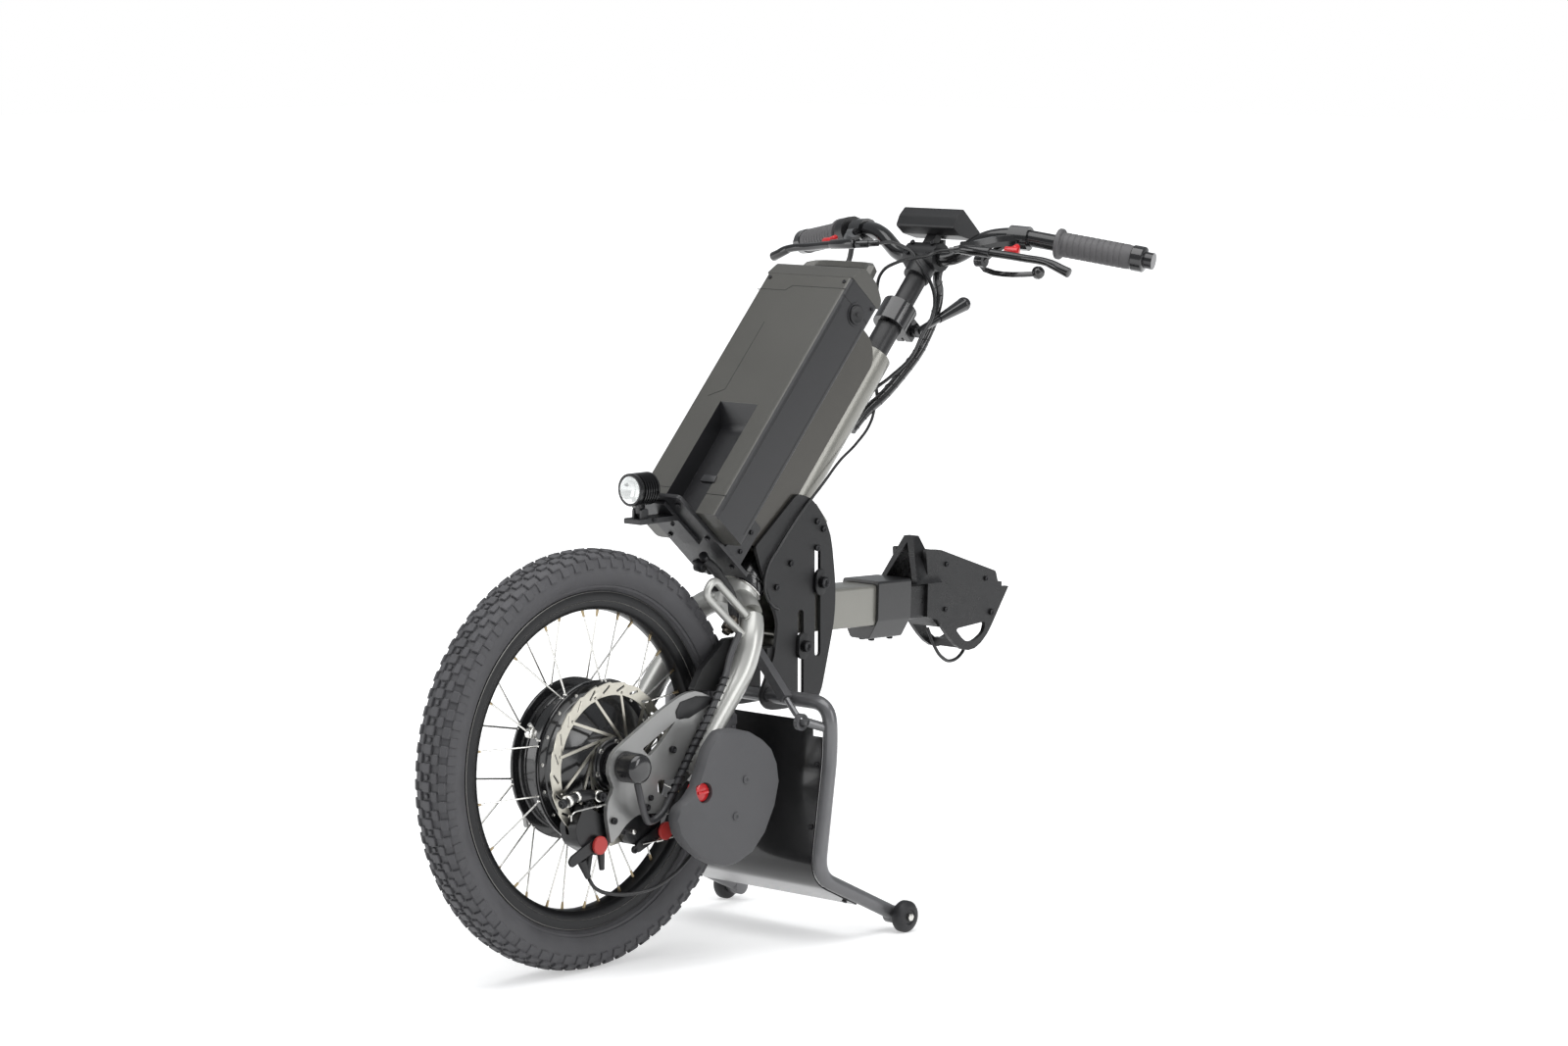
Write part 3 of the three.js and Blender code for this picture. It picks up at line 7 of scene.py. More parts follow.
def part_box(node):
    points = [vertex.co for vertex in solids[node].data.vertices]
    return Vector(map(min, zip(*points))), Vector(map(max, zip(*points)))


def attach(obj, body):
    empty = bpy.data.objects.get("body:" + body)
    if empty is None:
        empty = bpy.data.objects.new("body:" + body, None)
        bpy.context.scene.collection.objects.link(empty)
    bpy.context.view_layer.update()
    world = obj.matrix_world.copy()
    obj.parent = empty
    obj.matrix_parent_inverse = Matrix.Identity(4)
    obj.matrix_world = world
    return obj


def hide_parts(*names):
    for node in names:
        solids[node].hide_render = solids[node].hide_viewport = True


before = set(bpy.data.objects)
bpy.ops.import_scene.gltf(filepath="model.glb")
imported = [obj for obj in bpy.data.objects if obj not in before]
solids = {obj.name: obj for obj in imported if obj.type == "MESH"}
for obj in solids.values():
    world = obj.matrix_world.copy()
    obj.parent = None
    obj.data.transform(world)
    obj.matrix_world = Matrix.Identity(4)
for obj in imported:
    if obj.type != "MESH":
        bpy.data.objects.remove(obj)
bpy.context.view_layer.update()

# Studio
# A pale seamless floor that runs out to white, one wide soft panel overhead, a soft panel on each side
# and the camera at the photograph's place, which looks down a little on the unit's front left corner.
studio = bpy.context.scene
studio.view_settings.view_transform = "Standard"
camera_place = (3.819, -4.0372, 1.1999)
camera_below_level = 6.886
camera_turn = 42.665
floor_grey = 0.86
floor_glow_near, floor_glow_far = 0.44, 1.0


def nothing_chosen():
    if bpy.context.mode != "OBJECT":
        bpy.ops.object.mode_set(mode="OBJECT")
    bpy.ops.object.select_all(action="DESELECT")


def soft_panel(name, place, aim, size, watts):
    nothing_chosen()
    turn = (Vector(aim) - Vector(place)).to_track_quat("-Z", "Y").to_euler()
    bpy.ops.object.light_add(type="AREA", location=place, rotation=turn)
    panel = bpy.context.object
    panel.name = name
    panel.data.shape = "RECTANGLE"
    panel.data.size, panel.data.size_y = size
    panel.data.energy = watts


def feed(tree, made, inputs):
    """Gives each input of a node its plain value, or a link where it is given another node's output."""
    for name, value in inputs.items():
        if isinstance(value, bpy.types.NodeSocket):
            tree.links.new(value, made.inputs[name])
        else:
            made.inputs[name].default_value = value


def add(tree, kind, inputs, operation=None):
    """Adds a shader node, sets it and returns its outputs."""
    made = tree.nodes.new("ShaderNode" + kind)
    if operation:
        made.operation = operation
    feed(tree, made, inputs)
    return made.outputs


def new_material(name):
    made = bpy.data.materials.new(name)
    made.use_nodes = True
    return made, made.node_tree


nothing_chosen()
bpy.ops.object.camera_add(location=camera_place,
                          rotation=(math.radians(90 - camera_below_level), 0, math.radians(camera_turn)))
camera = bpy.context.object
camera.data.sensor_width = 36
camera.data.lens = 101.78
studio.camera = camera
soft_panel("overhead_panel", (0.3, -0.5, 3.4), (0, 0, 0.4), (4.0, 3.0), 100)
soft_panel("left_panel", (-2.6, -3.2, 1.5), (0, 0, 0.5), (1.6, 2.4), 34)
soft_panel("right_panel", (3.6, 0.8, 1.7), (0, 0.1, 0.5), (1.4, 2.4), 42)

sky = bpy.data.worlds.new("white_studio")
studio.world = sky
sky.use_nodes = True
tree = sky.node_tree
tree.nodes.clear()
rays = add(tree, "LightPath", {})
seen = add(tree, "Math", {0: rays["Is Camera Ray"], 1: rays["Is Transmission Ray"]}, "MAXIMUM")[0]
fill = add(tree, "Background", {"Color": (0.94, 0.97, 1.0, 1), "Strength": 0.36})[0]
white = add(tree, "Background", {"Color": (1, 1, 1, 1), "Strength": 1.0})[0]
add(tree, "OutputWorld", {"Surface": add(tree, "MixShader", {"Fac": seen, 1: fill, 2: white})[0]})

nothing_chosen()
bpy.ops.mesh.primitive_plane_add(size=60, location=(0, 0, 0))
floor = bpy.context.object
floor.name = "studio_floor"
pale, tree = new_material("pale_floor")
paint = tree.nodes["Principled BSDF"]
feed(tree, paint, {"Base Color": (floor_grey, floor_grey, floor_grey, 1), "Roughness": 0.9,
                   "Specular IOR Level": 0.1})
rays = add(tree, "LightPath", {})
seen = add(tree, "Math", {0: rays["Is Camera Ray"], 1: rays["Is Glossy Ray"]}, "MAXIMUM")[0]
far = add(tree, "VectorMath", {0: add(tree, "TexCoord", {})["Object"]}, "LENGTH")["Value"]
fade = add(tree, "MapRange", {"Value": far, "From Min": 0.9, "From Max": 3.0, "To Min": floor_glow_near,
                              "To Max": floor_glow_far})["Result"]
level = add(tree, "Math", {0: seen, 1: fade}, "MULTIPLY")[0]
glow = add(tree, "Emission", {"Color": (1, 1, 1, 1), "Strength": level})[0]
whole = add(tree, "AddShader", {0: paint.outputs[0], 1: glow})[0]
feed(tree, tree.nodes["Material Output"], {"Surface": whole})
floor.data.materials.append(pale)

# Tyre
# A 20 inch knobbly tyre in dark rubber compound: a moulded casing with fine moulding ribs near its beads,
# a row of centre blocks, two rows of middle blocks, two rows of shoulder blocks and raised side lugs.
mm = 0.001
both_sides = ((1, "left"), (-1, "right"))
hub_low, hub_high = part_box("hub_shell")
axle_place = (0, (hub_low.y + hub_high.y) / 2, (hub_low.z + hub_high.z) / 2)
at_wheel = Matrix.Translation(axle_place) @ Matrix.Scale(mm, 4)


def surface_group():
    """Uneven colour and gloss with a fine grain, as moulded, cast and painted surfaces have."""
    group = bpy.data.node_groups.new("moulded_and_painted_surface", "ShaderNodeTree")
    for name, kind, value in (
        ("Colour", "Color", (0.5, 0.5, 0.5, 1)), ("Contrast", "Float", 0.1), ("Patches", "Float", 20.0),
        ("Roughness", "Float", 0.5), ("Spread", "Float", 0.1), ("Grain", "Float", 900.0),
                              ("Lines", "Vector", (1, 1, 1)),
    ):
        group.interface.new_socket(name, in_out="INPUT",
                                   socket_type="NodeSocket" + kind).default_value = value
    for name, kind in (("Colour", "Color"), ("Roughness", "Float"), ("Height", "Float")):
        group.interface.new_socket(name, in_out="OUTPUT", socket_type="NodeSocket" + kind)
    given = group.nodes.new("NodeGroupInput").outputs
    place = add(group, "TexCoord", {})["Object"]
    stretched = add(group, "VectorMath", {0: place, 1: given["Lines"]}, "MULTIPLY")[0]
    patches = add(group, "TexNoise", {"Detail": 5, "Vector": stretched, "Scale": given["Patches"]})["Fac"]
    centred = add(group, "Math", {0: patches, 1: 0.5}, "SUBTRACT")[0]
    strength = add(group, "Math", {0: given["Contrast"], 1: 4.0}, "MULTIPLY")[0]
    shade = add(group, "Math", {0: centred, 1: strength, 2: 1.0}, "MULTIPLY_ADD")[0]
    tinted = add(group, "VectorMath", {0: given["Colour"], "Scale": shade}, "SCALE")[0]
    wide = add(group, "Math", {0: given["Spread"], 1: 2.0}, "MULTIPLY")[0]
    gloss = add(group, "Math", {0: centred, 1: wide, 2: given["Roughness"]}, "MULTIPLY_ADD")[0]
    gloss.node.use_clamp = True
    grain = add(group, "TexNoise", {"Detail": 3, "Vector": stretched, "Scale": given["Grain"]})["Fac"]
    feed(group, group.nodes.new("NodeGroupOutput"), {"Colour": tinted, "Roughness": gloss, "Height": grain})
    return group


moulded = surface_group()


def finish(name, colour, roughness, metallic=0.0, contrast=0.06, patches=25.0, spread=0.06, grain=1200.0,
           depth=0.12, coat=0.0, coat_roughness=0.08, lines=(1, 1, 1)):
    """A material with its uneven colour, gloss and grain; the plain numbers stand on the shader itself."""
    made, tree = new_material(name)
    surface = tree.nodes.new("ShaderNodeGroup")
    surface.node_tree = moulded
    feed(tree, surface, {"Colour": (*colour, 1), "Contrast": contrast, "Patches": patches,
                         "Roughness": roughness, "Spread": spread, "Grain": grain, "Lines": lines})
    uneven = surface.outputs
    normal = add(tree, "Bump", {"Strength": depth, "Distance": 0.0004, "Height": uneven["Height"]})["Normal"]
    feed(tree, tree.nodes["Principled BSDF"], {
        "Base Color": uneven["Colour"], "Roughness": uneven["Roughness"], "Normal": normal,
                                               "Metallic": metallic,
        "Coat Weight": coat, "Coat Roughness": coat_roughness})
    return made


def choose(piece):
    nothing_chosen()
    piece.select_set(True)
    bpy.context.view_layer.objects.active = piece


def open_mesh():
    bpy.ops.object.mode_set(mode="EDIT")
    bpy.ops.mesh.select_all(action="SELECT")


def close_mesh():
    """Turns every face outwards and leaves edit mode."""
    bpy.ops.mesh.select_all(action="SELECT")
    bpy.ops.mesh.normals_make_consistent(inside=False)
    bpy.ops.object.mode_set(mode="OBJECT")


def smooth(piece, angle=32):
    choose(piece)
    bpy.ops.object.shade_smooth_by_angle(angle=math.radians(angle))
    return piece


def turned(profile, steps, angle=32):
    """Spins an outline of (along X, radius) points in millimetres about the X axis, as on a lathe."""
    nothing_chosen()
    bpy.ops.mesh.primitive_plane_add(size=1)
    piece = bpy.context.object
    open_mesh()
    bpy.ops.mesh.merge(type="CENTER")
    bpy.ops.transform.translate(value=(profile[0][0], 0, profile[0][1]))
    last = profile[0]
    for along, radius in [*profile[1:], profile[0]]:
        step = (along - last[0], 0, radius - last[1])
        bpy.ops.mesh.extrude_vertices_move(TRANSFORM_OT_translate={"value": step})
        last = (along, radius)
    bpy.ops.mesh.select_all(action="SELECT")
    bpy.ops.mesh.spin(steps=steps, angle=2 * math.pi, center=(0, 0, 0), axis=(1, 0, 0))
    bpy.ops.mesh.select_all(action="SELECT")
    bpy.ops.mesh.remove_doubles(threshold=0.002)
    close_mesh()
    return smooth(piece, angle)


def mirrored(half):
    """Half an outline, which ends on the middle plane, and the same half back on the other side."""
    return half + [(-along, radius) for along, radius in half[-2::-1]]


def softened(piece, width, segments=2, angle=32):
    """Breaks every sharp edge by a small round, as a maker's file or a mould does, and smooths the faces."""
    choose(piece)
    round_edge = piece.modifiers.new("broken_edges", "BEVEL")
    round_edge.width = width
    round_edge.segments = segments
    round_edge.limit_method = "ANGLE"
    round_edge.angle_limit = math.radians(30)
    round_edge.use_clamp_overlap = True
    round_edge.miter_outer = "MITER_ARC"
    bpy.ops.object.modifier_apply(modifier="broken_edges")
    return smooth(piece, angle)


def moved(*place):
    return Matrix.Translation(place)


def rotated(degrees, axis):
    return Matrix.Rotation(math.radians(degrees), 4, axis)


def placed(piece, matrix):
    """Puts the piece's place and turn into its mesh, and leaves its object at the origin."""
    piece.data.transform(matrix @ piece.matrix_basis)
    piece.matrix_world = Matrix.Identity(4)
    piece.data.update()
    return piece


def joined(pieces):
    nothing_chosen()
    for piece in pieces:
        piece.select_set(True)
    bpy.context.view_layer.objects.active = pieces[0]
    if len(pieces) > 1:
        bpy.ops.object.join()
    return bpy.context.object


def fitted(piece, name, body, material, slot, *stands_for):
    """Names a finished piece, gives it its finish and lets it move with its body."""
    piece.name = name
    piece.data.name = name
    piece.data.materials.clear()
    piece.data.materials.append(material)
    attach(piece, body)
    if stands_for:
        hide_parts(*stands_for)
    return piece


def assembled(pieces, matrix, name, body, material, slot, *stands_for):
    """Joins pieces made in millimetres, puts them in place and finishes them as one."""
    return fitted(placed(joined(pieces), matrix), name, body, material, slot, *stands_for)


def block(size, taper):
    """A moulded block: a box with a smaller top face, its middle at the origin."""
    nothing_chosen()
    bpy.ops.mesh.primitive_cube_add(size=1)
    piece = bpy.context.object
    piece.scale = size
    bpy.ops.object.transform_apply(location=False, rotation=False, scale=True)
    for corner in piece.data.vertices:
        if corner.co.z > 0:
            corner.co.x *= taper
            corner.co.y *= taper
    return piece


rubber_tread = finish("tyre_rubber", (0.080, 0.079, 0.084), 0.62, contrast=0.16, patches=30, spread=0.2,
                      grain=1500, depth=0.35)
casing_outside = [
    (11.5, 200.5), (13.1, 201), (13.2, 209.4), (15.2, 210.2), (17.2, 213.2), (18.6, 213.8), (19.6, 216.6),
                  (21.6, 217.2),
    (24.6, 221.8), (27.4, 228.5), (28.3, 235), (27.9, 241.5), (25.8, 247.6), (21, 252.4), (13.5, 255.6),
                  (0, 256.6),
]
casing_inside = [(-9, 203), (-20, 222), (-23.5, 235), (-18, 246), (0, 251.5)]
casing = turned(mirrored(casing_outside) + mirrored(casing_inside), 144, 40)

pitch_count = 72
# Each row's place across, radius, lean in degrees, share of a pitch, block size and taper
rows = [(0, 256.4, 0, 0.0, (13.0, 12.5, 7.2), 0.9), (0, 256.2, 0, 0.5, (6.0, 6.5, 6.4), 0.85)]
side_rows = [(11.8, 255.0, 13, 0.5, (8.5, 13.5, 7.4), 0.88), (20.6, 251.4, 33, 0.02, (9.5, 14.5, 7.6), 0.88),
             (26.6, 243.6, 66, 0.5, (12.5, 12.5, 4.6), 0.86)]
for across, radius, lean, *rest in side_rows:
    rows += [(side * across, radius, side * lean, *rest) for side in (1, -1)]
lugs = []
for across, radius, lean, share, size, taper in rows:
    lug = softened(block(size, taper), 0.7, 1)
    lug_place = rotated(360 * share / pitch_count, "X") @ moved(across, 0, radius) @ rotated(lean, "Y")
    lugs.append(placed(lug, lug_place))
tread = [joined(lugs)]
for step in range(1, pitch_count):
    copy = tread[0].copy()
    copy.data = tread[0].data.copy()
    studio.collection.objects.link(copy)
    copy.data.transform(rotated(360 * step / pitch_count, "X"))
    tread.append(copy)
assembled([casing] + tread, at_wheel, "knobbly_tyre", "wheel", rubber_tread, "rubber", "tyre")

# Rim, spokes and nipples
# A black anodised double-wall rim with two fine bright machined lines, laced with 36 bright steel
# spokes in brass nipples; one spoke holds the small silver speed magnet.
spoke_count = 36
flange_half_width, flange_radius = 20.6, 99.0
nipple_radius = 187.0
black_anodised = finish("black_anodised_rim", (0.010, 0.010, 0.011), 0.34, metallic=0.35, contrast=0.1,
                        spread=0.12, depth=0.05)
bright_line = finish("machined_bright_line", (0.20, 0.195, 0.185), 0.36, metallic=0.7, depth=0.04)
spoke_steel = finish("drawn_spoke_steel", (0.74, 0.73, 0.70), 0.24, metallic=1.0, contrast=0.08, depth=0.05)
brass = finish("brass_nipples", (0.40, 0.32, 0.20), 0.34, metallic=1.0, contrast=0.12, depth=0.05)

rim_half = [
    (6, 185.0), (10.6, 186.2), (13.0, 188.6), (14.6, 193.0), (14.9, 196.4), (15.7, 197.0), (16, 199.2),
            (16, 206.8),
    (15.3, 208.8), (13.9, 209.0), (13.4, 207.6), (13.4, 201.0), (12.2, 200.2), (0, 199.2),
]
rim_shell = turned([(0, 184.6)] + mirrored(rim_half), 144, 30)
fitted(placed(rim_shell, at_wheel), "rim_shell", "wheel", black_anodised, "satin_black", "rim")
fine_lines = [turned([(side * x, radius) for x, radius in line], 144) for side in (1, -1) for line in (
    [(15.25, 196.4), (15.5, 196.6), (15.9, 197.3), (15.5, 197.2)],
    [(15.3, 208.7), (15.7, 208.3), (15.9, 207.9), (15.6, 208.6)])]
assembled(fine_lines, at_wheel, "rim_machined_lines", "wheel", bright_line, "steel")


def facing(way):
    """The turn that points an object's Z axis along the given way."""
    return Vector(way).to_track_quat("Z", "X").to_matrix().to_4x4()


def rod(start, end, radius, sides=10, tip=None):
    """A straight bar between two points, whose far end may have a radius of its own."""
    start, end = Vector(start), Vector(end)
    nothing_chosen()
    bpy.ops.mesh.primitive_cone_add(vertices=sides, radius1=radius, radius2=radius if tip is None else tip,
                                    depth=(end - start).length)
    piece = bpy.context.object
    piece.data.transform(Matrix.Translation((start + end) / 2) @ facing(end - start))
    return piece


def peg(start, end, radius, sides, edge, tip=None):
    """A straight bar with its edges broken."""
    return softened(rod(start, end, radius, sides, tip), edge)


def around(radius, degrees):
    return Vector((radius * math.cos(math.radians(degrees)), radius * math.sin(math.radians(degrees))))


def lacing(index):
    """The ends of one spoke: its foot at a hub flange and its tip at the rim."""
    degrees = index * 360 / spoke_count
    side = 1 if index % 2 else -1
    lead = 1 if (index // 2) % 2 else -1
    foot = Vector((side * flange_half_width, *around(flange_radius, degrees + 8 * lead)))
    return foot, Vector((side * 2.3, *around(nipple_radius, degrees)))


def along_x(middle, start, end):
    return middle + Vector((start, 0, 0)), middle + Vector((end, 0, 0))


spokes, nipples = [], []
for index in range(spoke_count):
    foot, tip = lacing(index)
    inward = (foot - tip).normalized()
    spokes += [rod(foot, tip, 1.22, 8), rod(*along_x(foot, -2.4, 2.4), 1.7, 10, 1.3)]
    nipples.append(rod(tip - inward * 1.5, tip + inward * 10.5, 2.2, 10, 1.5))
    nipples.append(rod(tip - inward * 2.0, tip + inward * 1.2, 3.2, 12, 2.4))
magnet_foot, magnet_tip = lacing(15)
magnet_spot = magnet_foot.lerp(magnet_tip, 0.18)
assembled([smooth(joined(spokes), 50)], at_wheel, "spokes", "wheel", spoke_steel, "steel")
assembled([smooth(joined(nipples), 40)], at_wheel, "spoke_nipples", "wheel", brass, "steel")
magnet = [peg(*along_x(magnet_spot, -2, 7), 6.5, 24, 0.8),
          rod(magnet_spot + Vector((3, 3, 5)), magnet_spot + Vector((3, -3, 12)), 2.6, 12)]
assembled(magnet, at_wheel, "spoke_magnet", "wheel", spoke_steel, "steel")

# Hub motor
# A gloss black painted aluminium hub: a shell with two spoke flanges and cooling steps, and the side cover
# held by a ring of small silver screws.
hub_paint = finish("gloss_black_hub_paint", (0.010, 0.010, 0.011), 0.22, contrast=0.1, spread=0.05,
                   depth=0.05, coat=0.5)
bright_screw = finish("zinc_plated_screws", (0.75, 0.74, 0.7), 0.28, metallic=1.0, contrast=0.1, depth=0.08)
shell = turned([
    (-32, 12.6), (-32, 34), (-30.5, 38), (-24.5, 82), (-22.5, 96), (-22.2, 99.4), (-21.2, 100), (-19, 100),
                (-18, 99.2),
    (-17.4, 96), (-16.6, 90), (-15.2, 88.2), (-9, 88), (-8.2, 89.4), (-6.6, 89.4), (-5.8, 88), (5.8, 88),
                (6.6, 89.4),
    (8.2, 89.4), (9, 88), (15.2, 88.2), (16.6, 90), (17.4, 96), (18, 99.2), (19, 100), (21.2, 100),
                (22, 99.2), (22, 84),
    (-18, 84), (-28, 30), (-28.4, 12.6),
], 120, 28)
fitted(placed(shell, at_wheel), "hub_motor_shell", "wheel", hub_paint, "gloss_black", "hub_shell")
cover = turned([
    (22.3, 97.8), (23.4, 98.4), (24.8, 97.6), (25.4, 95), (25.6, 87), (27.4, 85.8), (28.6, 82), (31.2, 73),
                (31.8, 70),
    (34, 60), (38.5, 46), (40.4, 43), (47.6, 36.8), (48.6, 35.4), (48.6, 20.2), (59.4, 20), (60, 19.2),
                (60, 12.6),
    (26.4, 12.6), (26.4, 36), (22.3, 70),
], 120, 26)
fitted(placed(cover, at_wheel), "hub_side_cover", "wheel", hub_paint, "gloss_black", "hub_cover")


def socket_screw(place, way, radius, height, sides=20):
    """A cap screw: a bevelled head with its sunk socket, its face at height above its seat."""
    nothing_chosen()
    bpy.ops.mesh.primitive_cylinder_add(vertices=sides, radius=radius, depth=height,
                                        location=(0, 0, height / 2))
    piece = bpy.context.object
    bpy.ops.object.transform_apply(location=True, rotation=False, scale=False)
    softened(piece, radius * 0.14)
    choose(piece)
    bpy.ops.object.mode_set(mode="EDIT")
    bpy.ops.mesh.select_all(action="DESELECT")
    bpy.ops.object.mode_set(mode="OBJECT")
    for face in piece.data.polygons:
        face.select = face.normal.z > 0.99 and face.center.z > height * 0.97 and face.area > radius * radius
    bpy.ops.object.mode_set(mode="EDIT")
    bpy.ops.mesh.inset(thickness=radius * 0.42)
    bpy.ops.mesh.extrude_region_move(TRANSFORM_OT_translate={"value": (0, 0, -height * 0.5)})
    bpy.ops.object.mode_set(mode="OBJECT")
    piece.data.transform(Matrix.Translation(place) @ facing(way))
    return piece


def screws(places, way, radius, height, sides=20):
    return [socket_screw(place, way, radius, height, sides) for place in places]


ring = [(25.2, *around(92, 90.3 + 21.2 * index)) for index in range(17)]
assembled(screws(ring, (1, 0, 0), 2.3, 1.6, 14), at_wheel, "hub_cover_screws", "wheel", bright_screw,
          "steel")

# Brake rotor
# A laser-cut stainless rotor with a saw-toothed edge, slots in its band and slanted arms, on a black carrier
# that six socket screws hold to the hub's boss.
rotor_radius, tooth_points, tooth_fall, bore_radius = 101.4, 6, 0.38, 24
arm_count, first_arm, arm_lean, arm_half_width = 12, 17, 45, 1.8
arm_inside, arm_outside, hole_circle, hole_radius = 36, 85, 88.4, 1.8
slot_count, slot_circle, slot_half_length, slot_half_width = 24, 93, 7.2, 1.5
rotor_steel = finish("ground_rotor_steel", (0.52, 0.50, 0.44), 0.33, metallic=1.0, contrast=0.14, patches=60,
                     spread=0.16, grain=2600, depth=0.1)
carrier_black = finish("rotor_carrier_black", (0.012, 0.012, 0.013), 0.3, contrast=0.1, depth=0.1, coat=0.3)


def bevelled_copy(node, edge, angle=32, segments=2):
    """The solid's own shape with its triangles merged into whole faces and its edges broken."""
    piece = bpy.data.objects.new(node + "_finished", solids[node].data.copy())
    studio.collection.objects.link(piece)
    choose(piece)
    open_mesh()
    bpy.ops.mesh.remove_doubles(threshold=1e-5)
    bpy.ops.mesh.dissolve_limited(angle_limit=math.radians(0.6))
    bpy.ops.object.mode_set(mode="OBJECT")
    if piece.data.has_custom_normals:
        bpy.ops.mesh.customdata_custom_splitnormals_clear()
    softened(piece, edge, segments, angle)
    piece.modifiers.new("face_weights", "WEIGHTED_NORMAL").keep_sharp = True
    bpy.ops.object.modifier_apply(modifier="face_weights")
    return piece


def dressed(node, edge, angle, segments, name, body, material, slot):
    """Lets a copy of a solid with broken edges stand for it."""
    return fitted(bevelled_copy(node, edge, angle, segments), name, body, material, slot, node)


def flat_plate(corners, x0, x1, edge=0):
    """A plate sawn to an outline in the Y-Z plane, between two places on X, in millimetres."""
    x0, x1 = sorted((x0, x1))
    nothing_chosen()
    bpy.ops.mesh.primitive_circle_add(vertices=len(corners), radius=1, fill_type="NGON")
    piece = bpy.context.object
    for corner, (y, z) in zip(piece.data.vertices, corners):
        corner.co = (x0, y, z)
    open_mesh()
    bpy.ops.mesh.extrude_region_move(TRANSFORM_OT_translate={"value": (x1 - x0, 0, 0)})
    close_mesh()
    return softened(piece, edge) if edge else piece


def carved(piece, cutter):
    """Takes the cutter's shape out of the piece and deletes the cutter."""
    nothing_chosen()
    bpy.context.view_layer.objects.active = piece
    cut = piece.modifiers.new("pocket", "BOOLEAN")
    cut.operation = "DIFFERENCE"
    cut.solver = "EXACT"
    cut.object = cutter
    bpy.ops.object.modifier_apply(modifier="pocket")
    bpy.data.objects.remove(cutter, do_unlink=True)
    return piece


def square_to(way):
    return Vector((-way.y, way.x))


rotor_low, rotor_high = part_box("brake_rotor")
rotor_x = (rotor_low.x / mm, rotor_high.x / mm)
cut_x = (rotor_x[0] - 2, rotor_x[1] + 2)
rotor = flat_plate([around(rotor_radius - tooth_fall * (k % tooth_points), 2.5 * k) for k in range(144)],
                   *rotor_x)
openings = [flat_plate([around(bore_radius, 7.5 * k) for k in range(48)], *cut_x)]
arms = []
for index in range(arm_count + 1):
    degrees = first_arm + 30 * index
    outer_end, inner_end = around(arm_outside, degrees), around(arm_inside, degrees - arm_lean)
    arms.append((outer_end, inner_end, square_to((outer_end - inner_end).normalized()) * arm_half_width))
for index in range(arm_count):
    degrees = first_arm + 30 * index
    (outer_a, inner_a, off_a), (outer_b, inner_b, off_b) = arms[index], arms[index + 1]
    bow = [around(arm_outside, degrees + step) for step in (6, 11, 16, 21, 25)]
    openings.append(flat_plate([inner_a + off_a, outer_a + off_a, *bow, outer_b - off_b, inner_b - off_b],
                               *cut_x))
    hole = [around(hole_circle, degrees) + around(hole_radius, 30 * k) for k in range(12)]
    openings.append(flat_plate(hole, *cut_x))
for index in range(slot_count):
    middle = around(slot_circle, 4 + 15 * index)
    way = (around(97.4, 15 * index) - around(89, 8 + 15 * index)).normalized()
    half_length, half_width = way * slot_half_length, square_to(way) * slot_half_width
    openings.append(flat_plate([middle + half_length + half_width, middle - half_length + half_width,
                                middle - half_length - half_width, middle + half_length - half_width],
                               *cut_x))
carved(rotor, joined(openings))
fitted(placed(softened(rotor, 0.16, 1, 30), at_wheel), "brake_rotor_plate", "wheel", rotor_steel, "steel",
       "brake_rotor")
bolt_circle = [around(28, 60 * index + 18) for index in range(6)]
spider_profile = [(51.2, 20.4), (51.2, 31), (52, 32), (54.2, 32), (55.2, 31), (55.6, 28), (57.2, 26),
                  (57.2, 20.4)]
spider = [turned(spider_profile, 60, 30)] + [peg((51.2, *spot), (54.8, *spot), 6.4, 24, 0.6)
                                             for spot in bolt_circle]
assembled(spider, at_wheel, "rotor_carrier", "wheel", carrier_black, "gloss_black")
assembled(screws([(54.6, *spot) for spot in bolt_circle], (1, 0, 0), 3.6, 2.2), at_wheel, "rotor_screws",
          "wheel", bright_screw, "steel")

# Axle and its caps
# A steel axle clamped in the dropouts, with a moulded gloss black cap over each end.
axle_steel = finish("turned_axle_steel", (0.45, 0.44, 0.42), 0.32, metallic=1.0, depth=0.06)
cap_gloss = finish("gloss_black_moulding", (0.012, 0.012, 0.013), 0.2, spread=0.05, depth=0.03, coat=0.6,
                   coat_roughness=0.05)
cap_profile = [(76.3, 8.4), (76.3, 18.6), (77, 19.1), (79, 19.1), (80, 18.7), (99.5, 18.6), (103.2, 17.6),
               (105.6, 15.2), (106.8, 11.4), (107.1, 6), (107.1, 0), (89.6, 0), (89.6, 8.4)]
dressed("motor_axle", 0.0005, 40, 2, "motor_axle_turned", "fork", axle_steel, "steel")
for side, word in both_sides:
    end_cap = turned([(side * x, radius) for x, radius in cap_profile], 72, 35)
    fitted(placed(end_cap, at_wheel), "axle_end_cap_" + word, "fork", cap_gloss, "gloss_black",
           "axle_cap_" + word)

# Dropouts
# Two machined aluminium plates painted with the fork, with lightening windows, a rubber insert in the upper
# window and clamp screws.
fork_paint = finish("metallic_grey_fork_paint", (0.50, 0.50, 0.475), 0.34, metallic=0.45, contrast=0.05,
                    grain=3200, depth=0.06, coat=0.55, coat_roughness=0.1)
plate_grey = finish("metallic_grey_plate_paint", (0.30, 0.30, 0.295), 0.36, metallic=0.5, spread=0.08,
                    grain=3000, depth=0.08, coat=0.35, coat_roughness=0.15)
insert_rubber = finish("black_rubber_insert", (0.012, 0.012, 0.013), 0.48, contrast=0.1, depth=0.15)
dark_screw = finish("blackened_screws", (0.03, 0.03, 0.032), 0.34, metallic=0.8, contrast=0.15, depth=0.08)
plate_face, insert_inside, insert_outside = 76, 73.2, 78
insert_outline = [(88, 57), (90, 48), (111, 46), (153, 60), (156, 67), (123, 72), (96, 68)]
